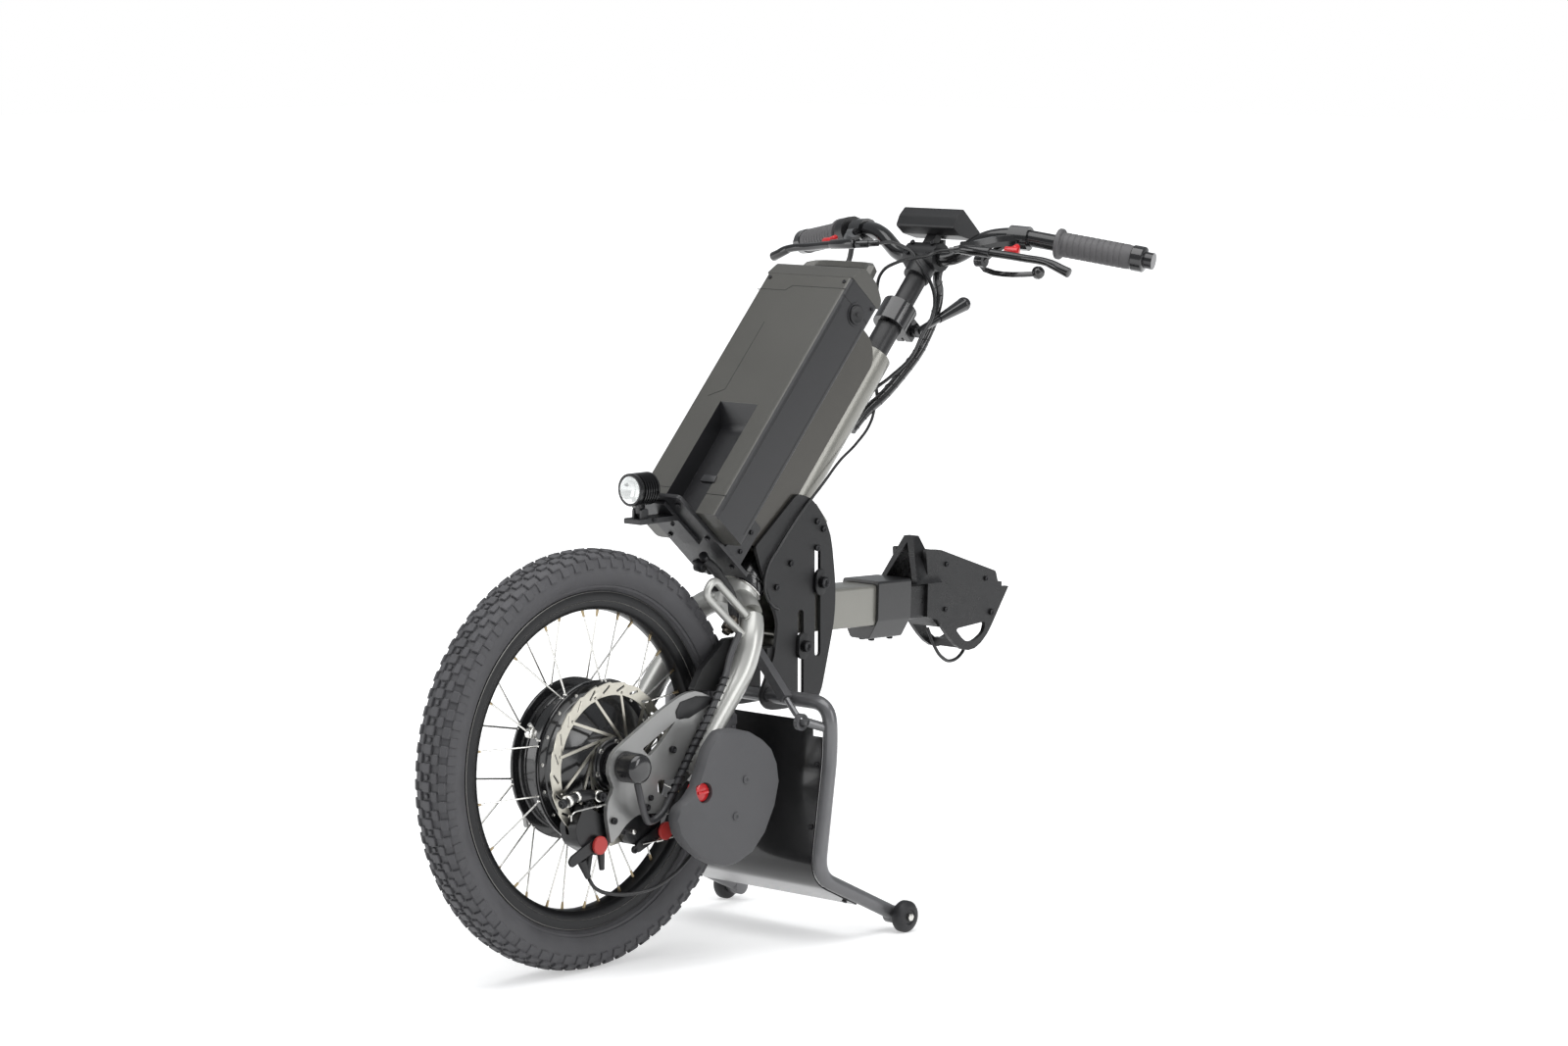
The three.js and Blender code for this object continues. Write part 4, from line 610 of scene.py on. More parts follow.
clamp_seats = ((81, 11, 4.6, 5), (43, -44, 3.6, 3.4), (-21, -64, 4.4, 4), (36, -55, 4.4, 4))
for side, word in both_sides:
    dressed("dropout_" + word, 0.0009, 30, 2, "dropout_plate_" + word, "fork", plate_grey, "silver")
    insert = flat_plate(insert_outline, side * insert_inside, side * insert_outside, 1.6)
    assembled([insert], at_wheel, "dropout_insert_" + word, "fork", insert_rubber, "rubber")
    clamp_screws = [socket_screw((side * plate_face, y, z), (side, 0, 0), *size)
                    for y, z, *size in clamp_seats]
    assembled(clamp_screws, at_wheel, "dropout_screws_" + word, "fork", dark_screw, "steel")

# Fork
# A welded tube fork painted metallic grey: the crown, two curved legs drawn from one tube each and the small
# cable guard loop on the front of each leg, with its weld beads, under a bright bearing ring.
tilt = math.radians(42)
axle_to_crown, fork_offset = 326.7, 89.3
crown_rise = axle_to_crown * math.cos(tilt) - fork_offset * math.sin(tilt)
crown_back = fork_offset * math.cos(tilt) + axle_to_crown * math.sin(tilt)
at_crown = at_wheel @ moved(0, crown_back, crown_rise)
at_column = at_crown @ Matrix.Rotation(-tilt, 4, "X")
stood_up = rotated(-90, "Y")


def tube(points, radius, sides=20, smoothness=8, straight=False):
    """A tube drawn along a smooth line through the points, in millimetres, with closed ends."""
    nothing_chosen()
    bpy.ops.curve.primitive_bezier_curve_add()
    data = bpy.context.object.data
    data.splines.clear()
    spline = data.splines.new("POLY" if straight else "BEZIER")
    knots = spline.points if straight else spline.bezier_points
    knots.add(len(points) - 1)
    for knot, point in zip(knots, points):
        knot.co = (*point, 1) if straight else point
        if not straight:
            knot.handle_left_type = knot.handle_right_type = "AUTO"
    data.dimensions = "3D"
    data.resolution_u = smoothness
    data.bevel_depth = radius
    data.bevel_resolution = max(1, sides // 4 - 1)
    data.use_fill_caps = True
    bpy.ops.object.convert(target="MESH")
    open_mesh()
    bpy.ops.mesh.remove_doubles(threshold=0.001)
    close_mesh()
    return smooth(bpy.context.object, 50)


def bender_line(corners, bend, steps=8):
    """Straight runs joined by arcs, as a tube bender makes them."""
    points = [Vector(corners[0])]
    for before, corner, after in zip(corners, corners[1:], corners[2:]):
        before, corner, after = Vector(before), Vector(corner), Vector(after)
        arrive = corner + (before - corner).normalized() * bend
        leave = corner + (after - corner).normalized() * bend
        for k in range(steps + 1):
            t = k / steps
            points.append(arrive * (1 - t) ** 2 + corner * 2 * t * (1 - t) + leave * t ** 2)
    points.append(Vector(corners[-1]))
    return points


def both_halves(half):
    """The corners of a line that is the same on both sides, from its left half."""
    return [(-x, y, z) for x, y, z in reversed(half)] + half


def ball(place, radius, segments, rings):
    nothing_chosen()
    bpy.ops.mesh.primitive_uv_sphere_add(segments=segments, ring_count=rings, radius=radius, location=place)
    bpy.ops.object.transform_apply(location=True, rotation=False, scale=False)
    return bpy.context.object


def bead(points, radius):
    """A weld bead: a thin run of overlapping drops along a joint."""
    drops = []
    for start, end in zip(points, points[1:]):
        start, end = Vector(start), Vector(end)
        count = max(1, int((end - start).length / (radius * 1.1)))
        for k in range(count):
            drops.append(ball(start.lerp(end, k / count), radius, 8, 5))
    return smooth(joined(drops), 60)


leg_radius, leg_bend, loop_radius, loop_bend, bead_radius = 16, 24, 5, 12, 1.2
fork_parts = []
for side in (1, -1):
    leg = [(0, -4, -17), (side * 33, -6, -23.8), (side * 61.4, -3, -59.5), (side * 66, 12, -109),
           (side * 66, 12, -270)]
    fork_parts.append(tube(bender_line(leg, leg_bend), leg_radius, 32, straight=True))
crown = turned([(-34, 0), (-34, 18), (-31, 22), (-22, 25.5), (-6, 27), (-1.6, 27), (-0.2, 26), (0, 24),
                (0, 0)], 64, 35)
fork_parts.append(placed(crown, stood_up))
for side in (1, -1):
    loop = [(side * 55, -9.6, -50), (side * 55, -98, -50), (side * 55, -98, -75), (side * 60, -5, -75)]
    fork_parts.append(tube(bender_line(loop, loop_bend), loop_radius, 20, straight=True))
    for across, ahead, along in ((55, -19, -50), (60, -8, -75)):
        spots = [around(loop_radius + 1, 30 * k) for k in range(13)]
        weld = [(side * (across + spot.x), ahead, along + spot.y) for spot in spots]
        fork_parts.append(bead(weld, bead_radius))
assembled(fork_parts, at_column, "fork_weldment", "fork", fork_paint, "silver", "fork_frame")
race_silver = finish("polished_bearing_ring", (0.8, 0.79, 0.77), 0.14, metallic=1.0, depth=0.03)
race = turned([(-0.6, 24), (-0.6, 28.4), (0.1, 28.9), (0.2, 24)], 72, 30)
fitted(placed(race, at_column @ stood_up), "headset_ring", "fork", race_silver, "steel")

# Cable junction in the fork
# A black moulded bridge box between leg and wheel, with the bronze crimp collar of the braided harness that
# climbs to the tray, and the small connectors beside it.
black_moulding = finish("satin_black_moulding", (0.008, 0.008, 0.009), 0.42, contrast=0.1, spread=0.1)
bronze_crimp = finish("bronze_crimp_collar", (0.16, 0.14, 0.12), 0.3, metallic=0.9, contrast=0.15,
                      depth=0.08)


def woven_finish(name, colour, thread, scale):
    """Braided sleeving: two crossing sets of fine threads, light over dark, raised a little."""
    made, tree = new_material(name)
    place = add(tree, "TexCoord", {})["Object"]
    waves = []
    for turn in (0.7, -0.7):
        slanted = add(tree, "Mapping", {"Rotation": (turn, turn, 0), "Vector": place})["Vector"]
        waves.append(add(tree, "TexWave", {"Scale": scale, "Distortion": 1.5, "Vector": slanted})["Fac"])
    over = add(tree, "Math", {0: waves[0], 1: waves[1]}, "MULTIPLY")[0]
    ramp = add(tree, "ValToRGB", {"Fac": over})["Color"]
    stops = ramp.node.color_ramp.elements
    stops[0].position, stops[1].position = 0.35, 0.75
    stops[0].color, stops[1].color = (*colour, 1), (*thread, 1)
    normal = add(tree, "Bump", {"Strength": 0.5, "Distance": 0.0006, "Height": over})["Normal"]
    feed(tree, tree.nodes["Principled BSDF"], {"Roughness": 0.5, "Base Color": ramp, "Normal": normal})
    return made


braid = woven_finish("braided_sleeve", (0.012, 0.012, 0.013), (0.13, 0.13, 0.13), 420)
dressed("cable_junction", 0.0022, 32, 2, "bridge_box", "fork", black_moulding, "satin_black")
collar_steps = ((-59.5, -76, 9, 28, 1.2), (-75, -81, 5.6, 24, 0.8), (-57, -61, 7.6, 24, 1.0))
collar_parts = [peg((40, -21, top), (40, -21, foot), *size) for top, foot, *size in collar_steps]
assembled(collar_parts, at_column, "harness_crimp_collar", "fork", bronze_crimp, "steel")
harness_route = [(40, -21, -62), (40, -22, -56), (37, -27, -48), (33, -36, -36), (26, -52, -27),
                 (18, -74, -20), (12, -86, -19)]
assembled([tube(harness_route, 6.4, 28)], at_column, "braided_harness", "fork", braid, "cable")
plugs = [peg((4, -46, -30), (14, -50, -30), 8, 20, 1.2), peg((-2, -84, -24), (10, -80, -24), 8.5, 20, 1.5),
         peg((14, -96, -17), (2, -60, -17), 6, 16, 1.2)]
assembled(plugs, at_column, "tray_connectors", "frame", black_moulding, "plastic")

# Brake calipers
# Two cable calipers in black cast aluminium, bolted to the left dropout so that both grip the one rotor,
# with red adjuster caps, their swinging arms, cap screws, ferrules and the rubber boot of one cable.
cast_black = finish("black_cast_aluminium", (0.011, 0.011, 0.012), 0.36, metallic=0.3, contrast=0.16,
                    patches=80, spread=0.16, depth=0.2, coat=0.2)
red_cap = finish("red_anodised_cap", (0.52, 0.045, 0.04), 0.42, contrast=0.1, spread=0.08, depth=0.1)
cable_black = finish("black_cable_jacket", (0.014, 0.014, 0.015), 0.34, depth=0.05)
wire_bright = finish("bright_brake_wire", (0.7, 0.69, 0.66), 0.28, metallic=1.0, depth=0.05)

for word, pivot in (("front", (-40, -92)), ("rear", (74, -90))):
    arm = "caliper_arm_" + word
    dressed("caliper_" + word, 0.0022, 35, 3, "caliper_body_" + word, "fork", cast_black, "satin_black")
    dressed(arm, 0.0007, 35, 2, "caliper_lever_" + word, arm, cast_black, "satin_black")
    cap = turned([(70.6, 11.4), (73.4, 11.4), (74.2, 10.8), (74.4, 9.8), (74.4, 0), (70.6, 0)], 48, 30)
    fitted(placed(cap, at_wheel @ moved(0, *pivot)), "adjuster_cap_" + word, arm, red_cap, "red")
caliper_screws = [socket_screw((67, -94, -33), (0, -0.97, -0.24), 5.6, 7)]
caliper_screws += [socket_screw(place, (1, 0, 0), radius, height) for place, radius, height in (
    ((70, -38, -32), 5.8, 7), ((66, 24, -107), 4.8, 4), ((66, 52, -70), 4.6, 5), ((66, 5, -82), 4.2, 4))]
assembled(caliper_screws, at_wheel, "caliper_screws", "fork", dark_screw, "steel")
washers = [peg((67, -72, -27.6), (67, -76.4, -28.6), 6.8, 28, 0.7),
           peg((67, -86, -31), (67, -91.4, -32.4), 7.6, 28, 0.9),
           peg((65, -38, -32), (70.4, -38, -32), 7.6, 28, 0.9)]
assembled(washers, at_wheel, "caliper_washers", "fork", bright_screw, "steel")
posts = [peg((66, -76, -28.6), (66, -87, -31.4), 6.4, 20, 1.2),
         peg((63, -74, -29), (63, -44, -31), 7.4, 20, 1.6),
         peg((54, -41, -104), (54, -44, -130), 5, 14, 0.8, 3.4),
         peg((60, -27, -104), (60, -25, -126), 5, 14, 0.8, 3.4)]
assembled(posts, at_wheel, "caliper_posts", "fork", cast_black, "satin_black")
wire_x, wire_radius, ferrule_radius = 71.5, 1.0, 1.9
front_wire = [(wire_x, y, z) for y, z in ((-88, -56), (-87, -49), (-82, -45.6), (-70, -44.4), (-28, -43))]
wires = [tube(front_wire, wire_radius, 8), rod((wire_x, -47, -43.8), (wire_x, -38, -43.4), ferrule_radius),
         rod((wire_x, 34, -101), (71, 88, -100), wire_radius, 8),
         rod((wire_x, 60, -100.6), (wire_x, 69, -100.4), ferrule_radius)]
wires += [peg((60, y, z), (72, y, z), 3.4, 16, 0.8) for y, z in ((20, -84), (92, -86))]
assembled(wires, at_wheel, "brake_wires", "fork", wire_bright, "steel")
assembled([peg((62, -62, -108), (62, -50, -132), 6.4, 20, 1.0, 3.6)], at_wheel, "cable_boot", "fork",
          black_moulding, "rubber")
brake_route = [(62, -49, -134), (63, -38, -147), (70, -16, -156), (82, 20, -157), (85, 60, -149),
               (85, 96, -130), (85, 122, -105), (85, 150, -60)]
assembled([tube(brake_route, 2.4, 12, 12)], at_wheel, "front_brake_cable", "fork", cable_black, "cable")

# Ballast weights
# A cast iron slab outside each leg, powder coated dark grey, with two deep-set screws and a red quarter-turn
# knob that lets it come off.
powder = finish("dark_grey_powder_coat", (0.084, 0.084, 0.088), 0.55, contrast=0.08, patches=16, spread=0.1,
                grain=2200, depth=0.45)
red_knob = finish("red_release_knob", (0.60, 0.012, 0.016), 0.3, depth=0.08, coat=0.3)
knob_y, knob_z, pocket_radius = 88, -38, 12.8
slab_inside, slab_outside, core_inside = 103, 126, 88
slab_outline = [(119, 36), (150, 33), (176, 26), (198, 14), (212, 2), (222, -18), (226, -42), (218, -72),
                (200, -104), (177, -126), (150, -136), (128, -137), (108, -132), (84, -120), (62, -104),
                (47, -86), (40, -66), (48, -50), (65, -44), (78, -28), (88, -8), (98, 14)]
core_y, core_z, core_share = 140, -50, 0.66
core_outline = []
for y, z in slab_outline:
    core_outline.append((core_y + (y - core_y) * core_share, core_z + (z - core_z) * core_share))
knob_profile = [(103, 0), (103, 8.8), (106, 11.8), (119.6, 11.8), (121.4, 11.2), (122.2, 9.6), (122.2, 0)]
for side, word in both_sides:
    slab = flat_plate(slab_outline, side * slab_inside, side * slab_outside, 8.5)
    core = flat_plate(core_outline, side * core_inside, side * (slab_inside + 1), 3)
    pocket_ends = [(side * x, knob_y, knob_z) for x in (slab_inside - 2, slab_outside + 4)]
    carved(slab, rod(*pocket_ends, pocket_radius, 40))
    assembled([smooth(joined([slab, core]), 36)], at_wheel, "ballast_slab_" + word, "fork", powder,
              "dark_grey", "ballast_" + word)
    seats = [(side * (slab_outside - 0.2), y, z) for y, z in ((161, -31), (143, -75))]
    assembled(screws(seats, (side, 0, 0), 5.4, 1.8), at_wheel, "ballast_screws_" + word, "fork", powder,
              "dark_grey")
    rib = placed(softened(block((3.8, 19.4, 3.4), 0.9), 0.6),
                 moved(side * 122.8, 0, 0) @ rotated(90 * side, "Y"))
    knob = [turned([(side * x, radius) for x, radius in knob_profile], 48, 35), rib]
    assembled(knob, at_wheel @ moved(0, knob_y, knob_z), "ballast_knob_turned_" + word,
              "ballast_knob_" + word, red_knob, "red", "ballast_knob_" + word)

# Motor lead
# The motor's lead leaves the axle, loops under it and climbs the leg, in a grey jacket with a spiral wrap on
# its upper run.
lead_radius = 4.4
lead_grey = finish("grey_motor_lead", (0.050, 0.050, 0.053), 0.42, depth=0.06)
lead_route = [(94, 2, -16.7), (96, 3, -27), (98, 6, -44), (93, 18, -63), (83.2, 36, -72), (83, 54, -66),
              (82, 72, -48), (82, 92, -20), (82, 112, 8), (83, 135, 40), (82, 157, 69), (77, 176, 90),
              (70, 194, 117), (67, 212, 140)]
assembled([tube(lead_route, lead_radius)], at_wheel, "motor_lead", "fork", lead_grey, "cable", "motor_cable")


def spiral(points, radius, wire, turns, steps=12):
    """A wrap wound round a cable: a fine tube that circles the line through the points."""
    route = [Vector(p) for p in points]
    lengths = [0.0]
    for start, end in zip(route, route[1:]):
        lengths.append(lengths[-1] + (end - start).length)
    wound = []
    total = turns * steps
    for k in range(total + 1):
        distance = lengths[-1] * k / total
        span = max(i for i in range(len(route) - 1) if lengths[i] <= distance + 1e-6)
        share = (distance - lengths[span]) / max(1e-6, lengths[span + 1] - lengths[span])
        centre = route[span].lerp(route[span + 1], share)
        way = (route[span + 1] - route[span]).normalized()
        first = (first - way * first.dot(way)).normalized() if k else way.orthogonal().normalized()
        spot = around(radius, 360 * k / steps)
        wound.append(centre + first * spot.x + way.cross(first) * spot.y)
    return tube(wound, wire, 8, straight=True)


assembled([spiral(lead_route[6:12], lead_radius + 0.6, 1.1, 16)], at_wheel, "motor_lead_wrap", "fork",
          black_moulding, "cable")

# Column and headset
# The column is a silver painted steel tube with welded lugs; below it sits the gloss black headset cup, and
# the fork's black steerer runs through both.
arm_paint = finish("silver_beige_paint", (0.25, 0.245, 0.22), 0.33, metallic=0.45, contrast=0.05,
                   spread=0.08, grain=3000, depth=0.08, coat=0.4, coat_roughness=0.12)
dressed("column_tube", 0.0009, 36, 2, "column_tube_painted", "frame", arm_paint, "silver")
cup = turned([(0.3, 16.6), (0.3, 26.4), (2, 28.2), (4.5, 29), (10, 29.2), (11, 28.4), (13, 28.4), (14, 29.2),
              (37, 29.2), (39.4, 28.4), (40, 27), (40, 16.6)], 72, 28)
fitted(placed(cup, at_column @ stood_up), "headset_cup", "frame", cap_gloss, "gloss_black", "headset_lower")
steerer = turned([(-19.7, 14.4), (-19.7, 16), (446, 16), (446, 14.4)], 48, 30)
fitted(placed(steerer, at_column @ stood_up), "steerer", "fork", black_moulding, "gloss_black",
       "steerer_tube")

# Battery cradle and tray
# Folded and welded steel rails in dark grey-brown paint and the flat black tray under the battery, with small
# assembly screws along the tray.
rail_grey = finish("grey_brown_rail_paint", (0.062, 0.058, 0.050), 0.34, metallic=0.4, spread=0.1, depth=0.1,
                   coat=0.3)
tray_black = finish("satin_black_powder", (0.017, 0.017, 0.019), 0.36, contrast=0.1, spread=0.1, grain=2400,
                    depth=0.25)
dressed("battery_cradle", 0.0009, 34, 2, "battery_rails", "frame", rail_grey, "satin_black")
dressed("battery_tray", 0.0011, 34, 2, "tray_plate", "frame", tray_black, "satin_black")
tray_screws = screws([(x, y, -6.3) for x in (-32, 32) for y in (-190, -120, -60)], (0, 0, -1), 3.4, 2.6)
for side in (1, -1):
    tray_screws += screws([(side * 33.5, -62, 16), (side * 33.5, -62, 46)], (side, 0, 0), 3.2, 2.4)
assembled(tray_screws, at_column, "tray_screws", "frame", dark_screw, "steel")

# Battery
# A moulded case in satin grey-brown plastic with a stepped front pocket, shallow panel lines and darker
# sides; its end cap has the carrying handle, corner screws and the charge port's round flap.
case_brown = finish("satin_grey_brown_case", (0.086, 0.084, 0.076), 0.36, metallic=0.25, contrast=0.05,
                    patches=10, grain=3200, coat=0.15)
case_side = finish("dark_grey_case_side", (0.018, 0.018, 0.020), 0.34, contrast=0.05, patches=12, grain=3200)
joint_dark = finish("dark_joint_lines", (0.006, 0.006, 0.006), 0.5, depth=0.05)
case = dressed("battery_case", 0.0014, 34, 3, "battery_case_moulded", "battery", case_brown, "case")
case.data.materials.append(case_side)
case.data.materials.append(tray_black)
pocket_half, pocket_front, pocket_back, pocket_foot, pocket_top = 68, -163.5, -100, 20, 345
from_column = at_column.inverted()
for face in case.data.polygons:
    place = from_column @ face.center
    in_pocket = abs(place.x) < pocket_half and pocket_front < place.y < pocket_back
    in_pocket = in_pocket and pocket_foot < place.z < pocket_top
    on_side = abs(face.normal.x) > 0.7 and abs(face.center.x) > 0.07
    face.material_index = 2 if in_pocket else 1 if on_side else 0
dressed("battery_cap", 0.0016, 40, 3, "battery_end_cap", "battery", case_brown, "case")

half, front, flank = 74, -165.05, 74.05
grooves = [
    [(-half, front, 352), (-26, front, 352), (-18, front, 360), (half, front, 360)],
    [(-half, front, 34), (-26, front, 34)], [(39, front, 30), (half, front, 30)],
]
grooves += [[(side * flank, -165, 352), (side * flank, -104, 352)] for side in (1, -1)]
grooves += [[(side * flank, y, 12), (side * flank, y, 340)] for side in (1, -1) for y in (-158, -108)]
grooves.append([(-52, front, 178), (-30, front, 190), (-30, front, 300)])
for index, line in enumerate(grooves):
    runs = [rod(start, end, 0.35, 6) for start, end in zip(line, line[1:])]
    assembled(runs, at_column, f"battery_panel_line_{index}", "battery", joint_dark, "case")
lid_screws = screws([(-64, -165.2, 371), (64, -165.2, 371)], (0, -1, 0), 2.6, 1.2)
for side in (1, -1):
    lid_screws += screws([(side * 74.2, -110, 371)], (side, 0, 0), 2.4, 1.2)
assembled(lid_screws, at_column, "battery_screws", "battery", dark_screw, "steel")
at_port = at_column @ moved(0, -129, 347)
flap = turned([(74.4, 0), (74.4, 12.4), (76.4, 12.6), (77.4, 12), (77.6, 10.6), (77.2, 9.6), (77.2, 3),
               (78.6, 2.4), (78.6, 0)], 48, 28)
fitted(placed(flap, at_port), "charge_port_flap", "charge_flap", insert_rubber, "rubber", "charge_flap")
port_ring = turned([(74.05, 13), (74.05, 15.6), (75, 15.4), (75, 13)], 48, 30)
fitted(placed(port_ring, at_port), "charge_port_ring", "battery", case_side, "case")
assembled([softened(block((24, 6, 10), 0.94), 0.8)], at_column @ moved(30, -164, 52), "battery_pocket_latch",
          "battery", case_side, "case")

# Headlight
# A small turned aluminium lamp, black anodised, with cooling fins round its body, a clear front glass over a
# bright reflector, on a hinged bracket bolted under the tray.
fin_black = finish("black_anodised_lamp", (0.014, 0.014, 0.015), 0.26, metallic=0.4, contrast=0.08,
                   depth=0.06, coat=0.2)
reflector = finish("bright_reflector", (0.86, 0.87, 0.86), 0.16, metallic=0.9, contrast=0.05, depth=0.05)
fin_count, fin_pitch = 6, 4.2
profile = [(0.2, 17.4), (0.2, 19.4), (0.8, 20.4), (6.4, 20.5), (7, 20.2)]
for k in range(fin_count):
    base = 8 + fin_pitch * k
    profile += [(base, 18.4), (base + 1.2, 18.4), (base + 1.6, 20.5), (base + 3.2, 20.5)]
profile += [(33.6, 20.3), (36.6, 17), (38, 15.5), (38, 0), (8, 0), (8, 15), (4.2, 17.2)]
lamp_foot = placed(softened(block((8, 10, 14), 1.0), 0.8), moved(19, 0, -24) @ rotated(90, "Z"))
at_lamp = at_crown @ moved(0, -199, 142) @ rotated(90, "Z")
assembled([turned(profile, 64, 28), lamp_foot], at_lamp, "lamp_body", "headlight", fin_black, "satin_black",
          "headlight")
dish = turned([(1.6, 16.9), (3, 15.6), (6, 11), (8.6, 6), (9.4, 0), (8, 0), (7.2, 5.6), (4.8, 10.4),
               (1.8, 15)], 48, 40)
fitted(placed(dish, at_lamp), "lamp_reflector", "headlight", reflector, "lens")
glass, tree = new_material("clear_lamp_glass")
frost = add(tree, "TexNoise", {"Scale": 900})["Fac"]
feed(tree, tree.nodes["Principled BSDF"], {
    "Base Color": (0.96, 0.97, 0.97, 1), "Roughness": 0.06, "Transmission Weight": 0.9, "IOR": 1.46,
    "Normal": add(tree, "Bump", {"Strength": 0.05, "Distance": 0.0002, "Height": frost})["Normal"]})
front_glass = turned([(0.5, 0), (0.5, 16.9), (1.5, 17), (1.5, 0)], 48, 30)
fitted(placed(front_glass, at_lamp), "lamp_glass", "headlight", glass, "lens", "headlight_lens")
dressed("light_bracket", 0.001, 34, 2, "lamp_bracket", "frame", tray_black, "satin_black")
assembled(screws([(14, -170, 104), (14, -138, 96)], (1, 0, 0), 3.2, 2), at_crown, "lamp_bracket_screws",
          "frame", dark_screw, "steel")

# Slotted plates
# Two laser-cut steel plates, matte dark grey, with the long slots in which the docking arm's bolts slide, and
# rows of small cap screws that hold them to the column's lugs.
plate_dark = finish("matte_dark_plate", (0.020, 0.020, 0.021), 0.5, metallic=0.25, contrast=0.07, patches=9,
                    spread=0.1, grain=2600, depth=0.22)
for side, word in both_sides:
    dressed("slotted_plate_" + word, 0.0008, 32, 2, "height_plate_" + word, "frame", plate_dark,
            "satin_black")
    seats = []
    for up, behind in ((21, 21), (130, 42), (104, 48), (130, 26), (60, 22)):
        y = behind * math.cos(tilt) + up * math.sin(tilt)
        z = up * math.cos(tilt) - behind * math.sin(tilt)
        seats.append((side * 35.2, y, z))
    assembled(screws(seats, (side, 0, 0), 4.2, 3.4), at_crown, "plate_screws_" + word, "frame", dark_screw,
              "steel")
assembled([peg((-31, 96, 98), (31, 96, 98), 4, 20, 0.6)], at_crown, "plate_spacer", "frame", dark_screw,
          "steel")

# Docking arm, collar and head
# A square steel tube in silver-beige paint with its cross bolts and long washers; a black collar clamps the
# inner tube, whose welded head of two side plates and a tent guide carries the latch.
bolt_spots = ((0, 39.5), (-30.6, -40.6))
at_arm = at_crown @ moved(0, 108, -38.5) @ rotated(-2, "X")
arm = dressed("arm_tube", 0.0016, 34, 3, "docking_arm", "arm", arm_paint, "silver")
arm.data.materials.append(dark_screw)
for face in arm.data.polygons:
    face.material_index = 1 if abs(face.center.x) > 0.0288 else 0
for side, word in both_sides:
    bolts = screws([(side * 40.3, *spot) for spot in bolt_spots], (side, 0, 0), 7.4, 9)
    assembled(bolts, at_arm, "slot_bolts_" + word, "arm", dark_screw, "steel")
    washers = []
    for y, z in bolt_spots:
        spots = [(around(9.2, 15 * (k + 0.5)), 8 if k < 12 else -8) for k in range(24)]
        outline = [(y + spot.x, z + end + spot.y) for spot, end in spots]
        washers.append(flat_plate(outline, side * 35.4, side * 40.8, 0.8))
    assembled(washers, at_arm, "slot_washers_" + word, "arm", plate_dark, "satin_black")
collar_black = finish("black_collar_paint", (0.014, 0.014, 0.015), 0.3, contrast=0.08, coat=0.3)
raw_black = finish("black_head_plate", (0.020, 0.020, 0.021), 0.34, metallic=0.3, contrast=0.25, patches=90,
                   spread=0.3, grain=1600, depth=0.5, lines=(0.15, 1, 1))
dressed("arm_collar", 0.0014, 34, 2, "collar_clamp", "arm", collar_black, "satin_black")
assembled(screws([(x, y, -46) for x in (-8, 8) for y in (136, 172)], (0, 0, -1), 4.2, 3), at_arm,
          "collar_screws", "arm", dark_screw, "steel")
dressed("docking_head", 0.0012, 34, 2, "docking_head_welded", "head", raw_black, "satin_black")
head_screws = [socket_screw((side * 29.8, 353, -24), (side, 0, 0), 4.4, 3) for side in (1, -1)]
for side in (1, -1):
    small_seats = [(side * 29.8, y, z) for y, z in ((258, 46), (258, -14), (340, 22))]
    head_screws += screws(small_seats, (side, 0, 0), 3.4, 2.4)
assembled(head_screws, at_arm, "head_screws", "head", dark_screw, "steel")
dressed("docking_latch", 0.0009, 34, 2, "latch_hook", "latch", axle_steel, "steel")
release_route = [(10, 246, -40), (14, 256, -64), (12, 276, -82), (8, 300, -88), (6, 322, -80), (4, 334, -66)]
assembled([tube(release_route, 2.4, 12)], at_arm, "latch_release_cable", "head", cable_black, "cable")

# Stand
# A folding stand bent from one steel tube, dark grey, with a gloss black curved sheet across it, its screws,
# two small rubber rollers and the strut that locks it.
stand_grey = finish("dark_grey_stand_paint", (0.15, 0.15, 0.155), 0.34, metallic=0.35, contrast=0.07,
                    spread=0.08, depth=0.1, coat=0.3)
panel_gloss = finish("gloss_black_sheet", (0.012, 0.012, 0.013), 0.3, metallic=0.2, contrast=0.05, patches=8,
                     spread=0.08, depth=0.05, coat=0.6)
roller_rubber = finish("grey_black_roller_rubber", (0.016, 0.016, 0.018), 0.5, contrast=0.08)
stand_half_width, stand_radius, stand_bend = 138, 9.5, 28
roller_y, roller_z = 140, -422.53
sheet_gap, sheet_thickness, sheet_half_width = 8.4, 2.0, 133
stand_side = [(17, -135), (19, -196), (-5, -352), (136, -419.5)]


def across_roller(x0, x1, radius, sides, edge=0):
    """A bar on the rollers' axis."""
    bar = rod((x0, roller_y, roller_z), (x1, roller_y, roller_z), radius, sides)
    return softened(bar, edge) if edge else bar


stand_line = bender_line(both_halves([(stand_half_width, y, z) for y, z in stand_side]), stand_bend)
stand_parts = [tube(stand_line, stand_radius, 28, straight=True)]
for side in (1, -1):
    stand_parts += [across_roller(side * 130, side * 165.8, 4, 16),
                    across_roller(side * 128, side * 148, 11.4, 32, 1.2)]
stand_parts += [rod((111, -8, -158), (126, -8, -158), 4, 14), rod((124, -9, -157), (138, 26, -170), 6, 14)]
assembled(stand_parts, at_crown, "stand_hoop", "stand", stand_grey, "dark_grey", "stand_frame")

